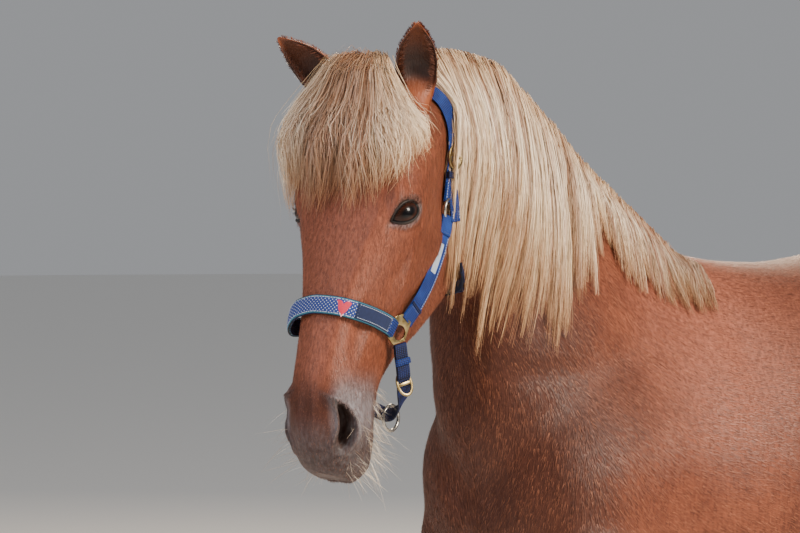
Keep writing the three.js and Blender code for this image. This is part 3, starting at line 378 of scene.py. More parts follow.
def neck_rings(count=36, around=48):
    angle = circle(around)
    share, side = (1 - np.cos(angle)) / 2, np.where(np.sin(angle) >= 0, 1, -1)
    stations = np.linspace(0, NECK[-1][0], count)
    return np.array([neck_place(np.full(around, s), share, side) for s in stations])


def leg_rings(rows, name, step=24, around=28):
    side = 1 if name.endswith("left") else -1
    levels = np.linspace(rows[0][0], rows[-1][0], int((rows[-1][0] - rows[0][0]) / step))
    x, y, long, wide = sizes(rows)(levels).T[:, :, None]
    x = x + STRIDES[name] * np.maximum(0, 1 - levels / rows[0][0])[:, None]
    angle = circle(around)[None]
    slope = np.where(levels == levels[-1], CORONET_SLOPE, 0)[:, None]
    z = -levels[:, None] + slope * np.cos(angle)
    return np.stack([x + long * np.cos(angle), side * (y + wide * np.sin(angle)), z], -1)


def head_rings(step=8, per_edge=6):
    """Sections of the head in its own axes: x down the nose, y to the left, z out of the forehead."""
    x = np.arange(HEAD[0][0], HEAD[-1][0] + 0.1, step)
    rings = []
    for place, size in zip(x, sizes(HEAD)(x)):
        top, brow, drop, crest_z, crest, cheek_z, cheek, low, jaw = size
        edge = [(0, top), (brow, top - drop), (crest, crest_z), (cheek, cheek_z), (jaw, low + drop), (0, low)]
        edge += [(-y, z) for y, z in edge[-2:0:-1]]
        corners = np.array(edge)
        n = len(corners)
        knots = np.array([np.linalg.norm(corners[(i + 1) % n] - corners[i]) ** 0.5 for i in range(n)])
        ring = []
        for i in range(n):
            a, b, c, d = (corners[(i + k) % n] for k in (-1, 0, 1, 2))
            s, t, u = knots[i - 1], knots[i], knots[(i + 1) % n]
            b_slope = t * ((b - a) / s - (c - a) / (s + t) + (c - b) / t)
            c_slope = t * ((c - b) / t - (d - b) / (t + u) + (d - c) / u)
            for k in range(per_edge):
                w = k / per_edge
                ring.append(
                    (2 * w**3 - 3 * w**2 + 1) * b
                    + (w**3 - 2 * w**2 + w) * b_slope
                    + (3 * w**2 - 2 * w**3) * c
                    + (w**3 - w**2) * c_slope
                )
        rings.append([(place, y, z) for y, z in ring])
    return np.array(rings)


def dock_rings(rows, step=20, around=20):
    levels = np.arange(rows[0][0], rows[-1][0] + 1, step)
    size = sizes(rows)
    x, z, long, wide = size(levels).T[:, :, None]
    along = unit((size(levels + 4) - size(levels - 4))[:, :2])
    angle = circle(around)[None]
    back = long * np.cos(angle)
    px = x + along[:, 1:2] * back
    pz = z - along[:, 0:1] * back
    return np.stack([px, wide * np.sin(angle), pz], -1)


down_nose = np.array([math.sin(FACE_TILT), 0, -math.cos(FACE_TILT)])
out_of_face = np.array([math.cos(FACE_TILT), 0, math.sin(FACE_TILT)])
head_axes = np.array([down_nose, (0, 1, 0), out_of_face])


def head_ahead(points):
    """Places in the head's own axes, as places straight ahead."""
    return HEAD_ORIGIN + np.asarray(points) @ head_axes


def unturned(points):
    """Places on the turned neck and head swung straight ahead again."""
    points = np.asarray(points, float)
    radius = (TURN_TO - TURN_FROM) / HEAD_TURN
    x, y = points[..., 0] - TURN_FROM, radius - points[..., 1]
    angle = np.where(x > 0, np.clip(np.arctan2(x, y), 0, HEAD_TURN), 0)
    beyond = x * np.cos(angle) - y * np.sin(angle)
    across = x * np.sin(angle) + y * np.cos(angle)
    return np.stack([TURN_FROM + angle * radius + beyond, radius - across, points[..., 2]], -1)


def in_head(points):
    """Places straight ahead in the head's own axes: down the nose, to the left, and out of the forehead."""
    return (np.asarray(points) - HEAD_ORIGIN) @ head_axes.T


def in_frame_from_head(points):
    return in_frame(turned(head_ahead(points)))


def placed(made, finish, slot, *replaced):
    """A piece with its material, riding on the one body in the place of the solids it replaces. Its slot is
    not used.
    """
    made.data.materials.append(finish)
    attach(made, "root")
    if replaced:
        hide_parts(*replaced)
    return made


LEG_ROWS = {name: FORELEG if name.startswith("fore") else HINDLEG for name in STRIDES}
FLESH = {
    "trunk": trunk_rings(),
    "neck": neck_rings(),
    "head": head_ahead(head_rings()),
    "dock": dock_rings(DOCK),
}
FLESH.update({name: leg_rings(rows, name) for name, rows in LEG_ROWS.items()})

VOXEL = 0.009
blocks = bmesh.new()
for rings in FLESH.values():
    wrap(blocks, in_frame(turned(rings)))
skin = piece(blocks, "skin")


def finished(made):
    """Applies an object's modifiers."""
    graph = bpy.context.evaluated_depsgraph_get()
    old = made.data
    made.data = bpy.data.meshes.new_from_object(made.evaluated_get(graph))
    made.modifiers.clear()
    bpy.data.meshes.remove(old)


def co_of(mesh):
    places = np.empty(len(mesh.vertices) * 3)
    mesh.vertices.foreach_get("co", places)
    return places.reshape(-1, 3)


def mm_of(mesh):
    """A mesh's points in millimetres along the horse."""
    return co_of(mesh) / 0.001 - SHIFT


def normals_of(mesh):
    found = np.empty(len(mesh.vertices) * 3)
    mesh.vertex_normals.foreach_get("vector", found)
    return found.reshape(-1, 3)


def set_co(mesh, places):
    mesh.vertices.foreach_set("co", np.ascontiguousarray(places, float).ravel())
    mesh.update()


remesh = skin.modifiers.new("one_skin", "REMESH")
remesh.mode = "VOXEL"
remesh.voxel_size = VOXEL
remesh.use_smooth_shade = True
finished(skin)


def near(value, low, high):
    """0 below low, 1 above high, and smooth between; low may be above high."""
    t = np.clip((value - low) / (high - low), 0, 1)
    return t * t * (3 - 2 * t)


# Where the blocks meet, the muscle runs over from one to the next: x and z, reach each way, and share
MEETINGS = [
    (520, 860, 190, 170, 1),  # foreleg and trunk
    (-500, 900, 260, 210, 1),  # hind leg and trunk
    (560, 1130, 210, 260, 1),  # breast and neck
    (800, 1480, 110, 110, 0.8),  # throat and jaw
    (-740, 1210, 70, 90, 1),  # root of the tail
]
ELSEWHERE = 0.03
x, y, z = mm_of(skin.data).T
blend = np.full(len(x), ELSEWHERE)
for at_x, at_z, long, tall, share in MEETINGS:
    blend = np.maximum(blend, share * np.exp(-(((x - at_x) / long) ** 2 + ((z - at_z) / tall) ** 2)))
group = skin.vertex_groups.new(name="joints")
for level in range(1, 11):
    chosen = np.where(np.round(blend * 10) == level)[0]
    group.add(chosen.tolist(), level / 10, "REPLACE")
soften = skin.modifiers.new("soften", "SMOOTH")
soften.factor = 0.5
soften.iterations = 60
soften.vertex_group = "joints"
finished(skin)
skin.vertex_groups.clear()


def mirrored(places):
    """Places of either side as places of the left side."""
    return np.abs(places * (0, 1, 0)) + places * (1, 0, 1)


# Muscle and bone under the skin of both sides: middle straight ahead, reach each way, and lift
BODY_PADS = [
    ((290, 190, 960), (110, 90, 120), 6),  # long head of the triceps
    ((120, 225, 985), (28, 90, 150), -10),  # line behind it
    ((430, 150, 1075), (70, 90, 70), 6),  # point of the shoulder
    ((400, 190, 960), (34, 90, 60), -8),  # hollow below it
    ((230, 170, 1230), (40, 90, 110), -7),  # behind the shoulder blade
    ((570, 62, 985), (80, 46, 100), 6),  # breast muscle
    ((610, 0, 990), (90, 16, 110), -10),  # furrow between the two
    ((620, 90, 1210), (110, 60, 24), -8),  # jugular groove
    ((-430, 205, 1085), (85, 90, 95), -12),  # hollow of the flank
    ((-560, 190, 1130), (120, 90, 120), 5),  # haunch
    ((-400, 195, 860), (70, 90, 70), 5),  # stifle
]
places = mm_of(skin.data)
lift = np.zeros(len(places))
for middle, reach, height in BODY_PADS:
    away = (mirrored(places) - middle) / reach
    lift += height * np.exp(-(away**2).sum(1))
set_co(skin.data, (places + normals_of(skin.data) * lift[:, None] + SHIFT) * 0.001)


# The face is worked finer than the body: bone and vein under thin skin, folded lids, comma-shaped nostrils
# with thick wings, and lips that close on a dark line. Each form lifts or sinks the skin along its own lie.
EYE = np.array([169.0, 82, -40])
EYE_RADIUS = 24
LID = 3.2
EYE_FACING = unit([0.06, 0.87, 0.45])
EYE_CORNERS = np.array([0.72, -0.36, 0.59])  # from the outer corner to the inner one
EYE_LONG = square_to(EYE_CORNERS, EYE_FACING)
EYE_TALL = np.cross(EYE_LONG, EYE_FACING)
EYE_TALL *= -np.sign(EYE_TALL[0])
OPENING = {"inner": 40, "outer": 32, "over": 12, "under": 10.5, "depth": 20}

NOSTRIL = np.array([489.0, 58, -45])
NOSTRIL_INTO = unit([-0.35, -0.82, -0.45])
NOSTRIL_LONG = square_to(np.array([0.93, -0.1, -0.35]), NOSTRIL_INTO)
NOSTRIL_ACROSS = np.cross(NOSTRIL_INTO, NOSTRIL_LONG)
NOSTRIL_SIZE = {"half": 34, "top": 9, "bottom": 12, "bow": 11, "deep": 29}
NOSTRIL_RIM = {"lift": 3.4, "at": 1.35, "width": 0.32}
LID_BLEND = 9  # over how many millimetres the domed lids run out into the face
EYE_HOLLOW = 5  # how far behind the ball's face the skin lies inside the opening

# Rounded forms: middle, reach along each axis of the head, and lift
HEAD_PADS = [
    ((160, 92, -36), (40, 34, 36), 9),  # rim of the eye socket
    ((138, 86, -14), (38, 20, 16), 7),  # brow over the eye
    ((100, 66, -22), (28, 26, 34), -7),  # hollow over the eye
    ((262, 78, -76), (80, 26, 15), 6),  # facial crest
    ((330, 50, -40), (70, 26, 20), -5),  # hollow beside the nose
    ((185, 66, -165), (85, 46, 80), 10),  # cheek
    ((285, 60, -150), (34, 40, 60), -4),  # hollow before the cheek
    ((205, 40, -240), (70, 36, 40), 6),  # corner of the jaw
    ((486, 66, -70), (40, 24, 20), 8),  # wing of the nostril
    ((450, 40, -30), (22, 20, 22), 7),  # top of the nostril
    ((530, 24, -82), (30, 26, 30), 3),  # upper lip
    ((512, 0, -158), (34, 30, 26), 6),  # chin
    ((440, 0, -150), (26, 30, 22), -5),  # chin groove
    ((455, 50, -110), (26, 22, 22), 4),  # corner of the mouth
    ((470, 0, -14), (60, 16, 30), -3),  # between the nostrils
]
MOUTH = [(446, 52, -114), (470, 54, -118), (500, 53, -122), (530, 42, -124), (549, 20, -124), (554, 0, -124)]
# Narrow forms: the line they follow, their half width and lift
HEAD_LINES = [
    ([(206, 92, -70), (250, 84, -77), (300, 68, -80)], 6, 2.6),  # edge of the facial crest
    ([(176, 70, -5), (240, 52, -6), (330, 38, -4), (420, 34, -8)], 8, 1.6),  # edge of the nasal bone
    # angular vein
    ([(196, 84, -30), (230, 72, -48), (275, 62, -58), (330, 54, -58), (380, 50, -52)], 3.4, 1.5),
    ([(275, 62, -58), (290, 62, -90), (300, 58, -140), (282, 52, -205)], 4, 1.6),  # facial vein
    ([(380, 50, -52), (430, 52, -66), (462, 56, -88)], 3, 1.1),
    ([(110, 80, -96), (160, 84, -112), (214, 80, -104)], 4, 1.4),
    (MOUTH, 2.6, -4.5),
    # lower lip and upper lip
    ([(470, 54, -124), (500, 53, -128), (530, 42, -131), (549, 22, -130), (554, 0, -130)], 4, 1.8),
    ([(470, 57, -108), (500, 56, -113), (530, 44, -116), (549, 22, -116), (556, 0, -116)], 5, 1.6),
    ([(120, 96, -22), (140, 98, -8), (170, 94, -6), (196, 84, -18)], 3.4, -3),  # crease over the eye
    ([(130, 100, -66), (160, 102, -78), (190, 92, -70)], 3, -2),  # fold under the eye
]


def from_line(places, line):
    """How far each place is from a line of points."""
    line = np.array(line, float)
    nearest = np.full(len(places), np.inf)
    for a, b in zip(line[:-1], line[1:]):
        share = np.clip((places - a) @ (b - a) / ((b - a) @ (b - a)), 0, 1)
        nearest = np.minimum(nearest, np.linalg.norm(places - a - share[:, None] * (b - a), axis=1))
    return nearest


def lid_height(along):
    """How high the lids stand, as shares of their most, from the outer corner at -1 to the inner one at 1."""
    return np.where(along > 0, (1 - np.abs(along) ** 1.5) ** 1.15, (1 - np.abs(along) ** 2.2) ** 0.7)


def eye_share(places):
    """1 on the edge of the eye's opening, less inside it and more outside, and the height over its middle."""
    away = mirrored(places) - EYE
    out = np.maximum(away @ EYE_FACING, 1e-3)
    long = away @ EYE_LONG / out * OPENING["depth"]
    long = np.where(long > 0, long / OPENING["inner"], long / OPENING["outer"])
    tall = away @ EYE_TALL / out * OPENING["depth"]
    tall = np.where(tall > 0, tall / OPENING["over"], tall / OPENING["under"])
    share = np.sqrt(long**2 + tall**2)
    along = np.clip(np.abs(long) / np.maximum(share, 1e-6), 0, 1) * np.sign(long)
    edge = np.hypot(along, lid_height(along))
    return np.where(away @ EYE_FACING > 3, share / edge, 9), tall


def nostril_share(places):
    """1 on the nostril's edge, less inside it."""
    away = mirrored(places) - NOSTRIL
    along = away @ NOSTRIL_LONG / NOSTRIL_SIZE["half"]
    top, bottom = NOSTRIL_SIZE["top"], NOSTRIL_SIZE["bottom"]
    wide = top + (bottom - top) * np.clip((along + 1) / 2, 0, 1)
    across = (away @ NOSTRIL_ACROSS - NOSTRIL_SIZE["bow"] * (along**2 - 0.4) * (1 - 0.6 * along)) / wide
    depth = np.abs(away @ NOSTRIL_INTO)
    return np.where(depth < 45, np.sqrt(across**2 + along**2 * np.abs(along)), 9)


def sculpted(places, normals):
    """The face's own forms, in the head's axes."""
    side = mirrored(places)
    lift = np.zeros(len(places))
    for middle, reach, height in HEAD_PADS:
        away = (((side - middle) / reach) ** 2).sum(1)
        lift += height * np.maximum(1 - away, 0) ** 2
    for line, width, height in HEAD_LINES:
        lift += height * np.exp(-((from_line(side, line) / width) ** 2))
    rim = nostril_share(places)
    lift += NOSTRIL_RIM["lift"] * np.exp(-(((rim - NOSTRIL_RIM["at"]) / NOSTRIL_RIM["width"]) ** 2))
    made = places + normals * lift[:, None]

    away = mirrored(made) - EYE
    reach = np.linalg.norm(away, axis=1)
    lids = EYE_RADIUS + LID
    h = np.clip(0.5 + 0.5 * (reach - lids) / LID_BLEND, 0, 1)
    domed = lids * (1 - h) + reach * h + LID_BLEND * h * (1 - h)
    opening, tall = eye_share(made)
    domed = np.where(away @ EYE_FACING > 0, domed, reach)
    inside = near(opening, 1.32, 1.16)
    domed = domed * (1 - inside) + (EYE_RADIUS - EYE_HOLLOW) * inside
    one = np.ones(len(made))
    to_side = np.stack([one, np.where(made[:, 1] < 0, -1, 1), one], 1)
    moved = (EYE + away * (domed / reach)[:, None]) * to_side
    made = np.where((reach < lids + LID_BLEND)[:, None], moved, made)

    away = side - NOSTRIL
    # the fold within its lower edge
    flap = near(away @ NOSTRIL_ACROSS, -3, 4) * near(away @ NOSTRIL_LONG, -16, 4)
    deep = NOSTRIL_SIZE["deep"] * near(rim, 1.02, 0.42) * (1 - 0.7 * flap)
    return made + NOSTRIL_INTO * to_side * deep[:, None]


def refined(mesh, chosen):
    """Halves the edges between the chosen points."""
    bm = bmesh.new()
    bm.from_mesh(mesh)
    bm.verts.ensure_lookup_table()
    edges = [e for e in bm.edges if chosen[e.verts[0].index] and chosen[e.verts[1].index]]
    bmesh.ops.subdivide_edges(bm, edges=edges, cuts=1, use_grid_fill=True)
    bm.to_mesh(mesh)
    bm.free()


def in_head_axes(mesh):
    return in_head(unturned(mm_of(mesh)))


def onto(mesh, tree, reach):
    """Draws points that are close to a finer shell right onto it."""
    places = co_of(mesh)
    for i, place in enumerate(places):
        hit, _, _, distance = tree.find_nearest(place, reach * 2)
        if hit is not None:
            share = float(near(distance, reach * 2, reach))
            places[i] += (np.array(hit) - place) * share
    set_co(mesh, places)


shell = bmesh.new()
wrap(shell, in_frame(turned(head_ahead(head_rings(step=5, per_edge=10)))))
head_shell = BVHTree.FromBMesh(shell)
shell.free()
places = in_head_axes(skin.data)
of_head = (places[:, 0] > 30) & (places[:, 0] < 600) & (np.abs(places[:, 1]) < 130) & (places[:, 2] > -300)
refined(skin.data, of_head)
places = in_head_axes(skin.data)
side = mirrored(places)
fine = (side[:, 0] > 420) & (side[:, 0] < 600) & (side[:, 1] < 130) & (side[:, 2] > -200)
fine |= np.linalg.norm(side - EYE, axis=1) < 58
refined(skin.data, fine)
onto(skin.data, head_shell, 0.005)
places = in_head_axes(skin.data)
head_turn = np.array(Matrix.Rotation(HEAD_TURN, 3, "Z"))
normals = normals_of(skin.data) @ head_turn @ head_axes.T
worked = (places[:, 0] > 20) & (np.abs(places[:, 1]) < 130)
places[worked] = sculpted(places[worked], normals[worked])
whole = co_of(skin.data)
whole[worked] = in_frame_from_head(places[worked])
set_co(skin.data, whole)
set_co(skin.data, co_of(skin.data) - normals_of(skin.data) * COAT_DEPTH * 0.001)


# The map of the coat: the skin is unwrapped by its own parts, along each part and around it.
# Every hair has its place on the same map, so that it takes the colour of the skin that it grows from.
# Each chart: its left and lower edges, and its width and height
CHARTS = {
    "trunk": (0.01, 0.01, 0.57, 0.47),
    "neck": (0.61, 0.01, 0.38, 0.47),
    "head": (0.01, 0.51, 0.38, 0.35),
    "tail": (0.01, 0.89, 0.38, 0.10),
    "foreleg_left": (0.42, 0.51, 0.13, 0.35),
    "foreleg_right": (0.57, 0.51, 0.13, 0.35),
    "hindleg_left": (0.72, 0.51, 0.13, 0.35),
    "hindleg_right": (0.86, 0.51, 0.13, 0.35),
    "ear_left": (0.42, 0.89, 0.13, 0.10),
    "ear_right": (0.57, 0.89, 0.13, 0.10),
}
CHART_NAMES = list(CHARTS)
NECK_AXIS = np.array([(400.0, 0, 1113), (880, 0, 1567)])
LEG_TOP = 760
LEG_MIDDLES = {"fore": (505, 138), "hind": (-640, 138)}


def neck_share(places):
    """How far along the neck's axis each place is, and how high over it."""
    way = NECK_AXIS[1] - NECK_AXIS[0]
    away = places - NECK_AXIS[0]
    long = np.linalg.norm(way)
    return away @ way / long**2, away @ np.array([-way[2], 0, way[0]]) / long


def over_neck_base(x, z):
    """More than 0 on the neck's side of the line from the withers down to the breast."""
    return (x - 240) * 506 + (z - 1366) * 320


def part_of(places):
    """The chart that each place straight ahead belongs to."""
    head = in_head(places)
    x, y, z = places.T
    part = np.full(len(places), CHART_NAMES.index("trunk"))
    part[over_neck_base(x, z) > 0] = CHART_NAMES.index("neck")
    part[(head[:, 0] > -20) & (x > 740) & (head[:, 2] > -300)] = CHART_NAMES.index("head")
    for name in STRIDES:
        side = y > 0 if name.endswith("left") else y < 0
        of_leg = (z < LEG_TOP) & (np.abs(y) > 30) & side & ((x > 0) == name.startswith("fore"))
        part[of_leg] = CHART_NAMES.index(name)
    part[(x < -738) & (np.abs(y) < 60) & (z < 1300)] = CHART_NAMES.index("tail")
    return part


def around(places, part):
    """How far along its part each place is, from 0 to 1, and its angle around the part."""
    head = in_head(places)
    x, y, z = places.T
    along, angle = (x + 745) / 1455, np.arctan2(y, z - 1050)
    share, over = neck_share(places)
    found = [
        ("neck", (share + 0.5) / 1.7, np.arctan2(y, over)),
        ("head", (head[:, 0] + 60) / 640, np.arctan2(head[:, 1], head[:, 2] + 110)),
        ("tail", (1300 - z) / 1000, np.arctan2(y, x + 800)),
    ]
    for name in STRIDES:
        middle = LEG_MIDDLES[name[:4]]
        found.append((name, z / LEG_TOP, np.arctan2(y - np.sign(y) * middle[1], x - middle[0])))
    for name, a, b in found:
        here = part == CHART_NAMES.index(name)
        along[here], angle[here] = a[here], b[here]
    return along, angle


def unwrapped(along, angle, part):
    """Places on the map for parts, from their shares along and angles around."""
    chart = np.array(list(CHARTS.values()))[part]
    u = chart[..., 0] + chart[..., 2] * np.clip(along, 0, 1)
    return np.stack([u, chart[..., 1] + chart[..., 3] * (angle / (2 * np.pi) + 0.5)], -1)


def set_uv(mesh, corners):
    layer = mesh.uv_layers.new(name="OFBake")
    layer.uv.foreach_set("vector", np.ascontiguousarray(corners, np.float32).ravel())


def listed(items, name, each=1):
    """A whole-number property of all items of a mesh, such as the point at each corner."""
    found = np.empty(len(items) * each, int)
    items.foreach_get(name, found)
    return found


def unwrap(mesh):
    """Lays a whole shell on the map, face by face, so that none spans the seam."""
    ahead = unturned(mm_of(mesh))
    corner_vert = listed(mesh.loops, "vertex_index")
    starts, totals = (listed(mesh.polygons, name) for name in ("loop_start", "loop_total"))
    first = np.repeat(corner_vert[starts], totals)
    part = part_of(ahead[first])
    along, angle = around(ahead[corner_vert], part)
    lead = around(ahead[first], part)[1]
    angle = lead + (angle - lead + np.pi) % (2 * np.pi) - np.pi
    set_uv(mesh, unwrapped(along, angle, part))


unwrap(skin.data)


# What the colour follows: bare grey skin round eyes, nostrils and lips, pale hair over the muzzle,
# a painted highlight along the back, the top of the shoulder and the nose, darker hair on the lower legs,
# darker cheeks and belly, and painted shade on the throat side of the neck, the breast and the middle of the
# trunk.
def markings(ahead):
    """The shares of each marking, of the painted highlight and of the painted shade, at places straight
    ahead.
    """
    places = in_head(ahead)
    side = mirrored(places)
    x, y, z = ahead.T
    head = near(places[:, 0], -20, 60) * (side[:, 1] < 140) * (side[:, 2] > -330) * (x > 740)
    eye, tall = eye_share(places)
    close = np.linalg.norm(side - EYE, axis=1) < 64
    bare = near(eye, 1.95, 1.25) * close * 0.85
    nostril = nostril_share(places)
    muzzle = near(side[:, 0] - 0.25 * side[:, 2], 400, 470) * head
    tip = near(side[:, 0] - 0.5 * (side[:, 2] + 80), 445, 525)
    bare = np.maximum(bare, tip * head * 0.85)
    bare = np.maximum(bare, near(nostril, 1.9, 1.15) * (side[:, 0] > 400) * 0.9)
    lips = np.exp(-((from_line(side, MOUTH) / 12) ** 2))
    bare = np.maximum(bare, lips * near(side[:, 0], 420, 450)) * head
    pale = muzzle * near(side[:, 1], 30, 50) * near(side[:, 2], -150, -110) * 0.95
    pale = np.maximum(pale, 0.3 * muzzle * near(side[:, 0], 470, 520))
    pale = np.maximum(pale, near(eye, 2.6, 1.7) * near(-tall, 0, 1) * close * 0.5)
    cheek = near(side[:, 2], -60, -150) * near(side[:, 0], 420, 330) * head
    # painted highlight: lighter along the back and the top of the shoulder, and down the bridge of the nose
    painted_highlight = near(z, 980, 1250) * near(x, 520, 330) * (0.15 + 0.85 * near(x, -60, 240))
    nose = near(side[:, 2], -70, -10) * near(side[:, 0], 60, 200) * head * (1 - muzzle)
    painted_highlight = np.maximum(painted_highlight, 0.6 * nose)
    dark = np.maximum(0.35 * cheek, near(z, 420, 180) * 0.8)
    dark = np.maximum(dark, muzzle * 0.9)
    dark = np.maximum(dark, near(z, 760, 700) * near(np.abs(y), 110, 40) * 0.4)
    # painted shade over the middle of the trunk, behind the shoulder
    dark = np.maximum(dark, 0.45 * near(x, 300, 60) * near(x, -500, -200) * (1 - head))
    share, over = neck_share(ahead)
    # painted shade on the throat side of the neck
    dark = np.maximum(dark, 0.6 * near(share, -0.1, 0.25) * near(over, 150, -120) * (1 - head) * (z > 900))
    # painted shade on the front of the neck and the breast, under the jaw
    dark = np.maximum(dark, 0.85 * near(x, 470, 640) * near(z, 1500, 1250) * (1 - head))
    return {"bare": bare, "pale": pale, "painted_highlight": painted_highlight, "dark": dark, "head": head}


def set_attribute(mesh, name, values):
    made = mesh.attributes.new(name, "FLOAT", "POINT")
    made.data.foreach_set("value", np.ascontiguousarray(values, np.float32))


for name, values in markings(unturned(mm_of(skin.data))).items():
    set_attribute(skin.data, name, values)


def mix(tree, factor, a, b):
    """A blend of two colours, each a socket or a hex colour."""
    made = node(tree, "ShaderNodeMix", data_type="RGBA")
    for index, value in ((0, factor), (6, a), (7, b)):
        if isinstance(value, str):
            made.inputs[index].default_value = linear(value)
        elif isinstance(value, (int, float)):
            made.inputs[index].default_value = value
        else:
            tree.links.new(value, made.inputs[index])
    return made.outputs[2]


def attribute(tree, name, kind="Fac"):
    return node(tree, "ShaderNodeAttribute", attribute_name=name).outputs[kind]


def maths(tree, operation, *values):
    return node(tree, "ShaderNodeMath", dict(enumerate(values)), operation=operation).outputs[0]


def ranged(tree, value, low, high, to_low=0.0, to_high=1.0):
    """A value's share between two others."""
    made = node(tree, "ShaderNodeMapRange", {0: value}, in_1=low, in_2=high, in_3=to_low, in_4=to_high)
    return made.outputs[0]


def noise(tree, size_mm, stretch=(1, 1, 1), turn=(0, 0, 0)):
    """Noise on object coordinates with grains of about this size, stretched along a turned axis."""
    place = node(tree, "ShaderNodeTexCoord").outputs["Object"]
    mapping = node(tree, "ShaderNodeMapping", {0: place}, vector_type="POINT")
    mapping.inputs["Rotation"].default_value = turn
    mapping.inputs["Scale"].default_value = [1 / s for s in stretch]
    made = node(tree, "ShaderNodeTexNoise", {0: mapping.outputs[0]})
    made.inputs["Scale"].default_value = 1000 / size_mm
    made.inputs["Detail"].default_value = 3
    return made.outputs["Fac"]


def coat_colour(tree):
    """Chestnut with its markings, its painted highlight and its painted shade, alike on the skin and on the
    hair over it.
    """
    made = mix(tree, ranged(tree, noise(tree, 90), 0.35, 0.65), "#743B25", "#8B4B31")
    # painted highlight on the back, the shoulder and the nose
    made = mix(tree, ranged(tree, attribute(tree, "painted_highlight"), 0, 1, 0, 0.85), made, "#A5614A")
    # darker hair, darker cheeks and belly, and painted shade on the throat, the breast and the middle of the
    # trunk
    made = mix(tree, ranged(tree, attribute(tree, "dark"), 0, 1, 0, 0.9), made, "#3A1B10")
    made = mix(tree, ranged(tree, attribute(tree, "pale"), 0, 1, 0, 0.9), made, "#8A868A")
    bare = mix(tree, ranged(tree, noise(tree, 7), 0.35, 0.65), "#2A2423", "#544B49")
    return mix(tree, attribute(tree, "bare"), made, bare)


# Satin red-brown with a fine grain that runs the way the hair lies
coat_skin, tree, shader = material("chestnut_coat_over_skin")
body_grain = noise(tree, 5, stretch=(1, 1, 5), turn=(0, math.radians(-50), 0))
head_grain = noise(tree, 4, stretch=(1, 1, 5), turn=(0, math.radians(19), 0))
grain = node(tree, "ShaderNodeMix", {0: attribute(tree, "head"), 2: body_grain, 3: head_grain}).outputs[0]
colour = coat_colour(tree)
colour = mix(tree, ranged(tree, grain, 0.62, 0.38, 0, 0.55), colour, "#3C1A0C")
surface(tree, shader, colour, 0.6, (grain, 0.3, 0.002), {
    "Specular IOR Level": 0.3, "Sheen Weight": 0.08, "Sheen Roughness": 0.4, "Sheen Tint": "#FFC9A8"})
flesh_nodes = [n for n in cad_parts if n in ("torso", "neck", "head", "tail") or "leg_" in n]
placed(skin, coat_skin, "coat", *flesh_nodes)


# Eyes: dark brown balls with a level oval pupil under a clear wet cornea, between black-edged lids.
# The lids are thin bare skin over muscle, thickest along their margin.
SIDES = {"left": 1, "right": -1}


def side_places(points, sign):
    return np.asarray(points) * (1, sign, 1)


def ramp(tree, value, colours):
    """A run of colours over a value: each a place from 0 to 1 and a hex colour."""
    made = node(tree, "ShaderNodeValToRGB", {0: value})
    stops = made.color_ramp.elements
    stops[0].color, stops[1].color = linear(colours[0][1]), linear(colours[-1][1])
    for at, colour in colours[1:-1]:
        stops.new(at).color = linear(colour)
    return made.outputs[0]


# Nearly black, with a brown ring that shows only in the light, and sharp wet reflections
eye_wet, tree, shader = material("wet_brown_eye")
IRIS = [
    (0, "#050408"), (0.3, "#040305"), (0.36, "#150905"), (0.6, "#331609"), (0.8, "#120805"), (1, "#0C0706"),
]
surface(tree, shader, ramp(tree, attribute(tree, "iris"), IRIS), 0.3, more={
    "Specular IOR Level": 0.1, "Coat Weight": 0.6, "Coat Roughness": 0.02, "Coat IOR": 1.33})

# Dark grey-brown bare skin, finely creased and black along the wet margin
lid_skin, tree, shader = material("bare_lid_skin")
shade = mix(tree, attribute(tree, "margin"), mix(tree, noise(tree, 4), "#1E1613", "#3A2D26"), "#080606")
surface(tree, shader, shade, 0.55, (noise(tree, 2.5), 0.4, 0.001), {"Specular IOR Level": 0.3})


def lid_ways(along, tall, grow=1.0):
    """Ways from the eye's middle to places on its opening, from the shares along and the heights over it."""
    long = along * np.where(along > 0, OPENING["inner"], OPENING["outer"])
    return unit(EYE_FACING * OPENING["depth"] + grow * (np.outer(long, EYE_LONG) + np.outer(tall, EYE_TALL)))


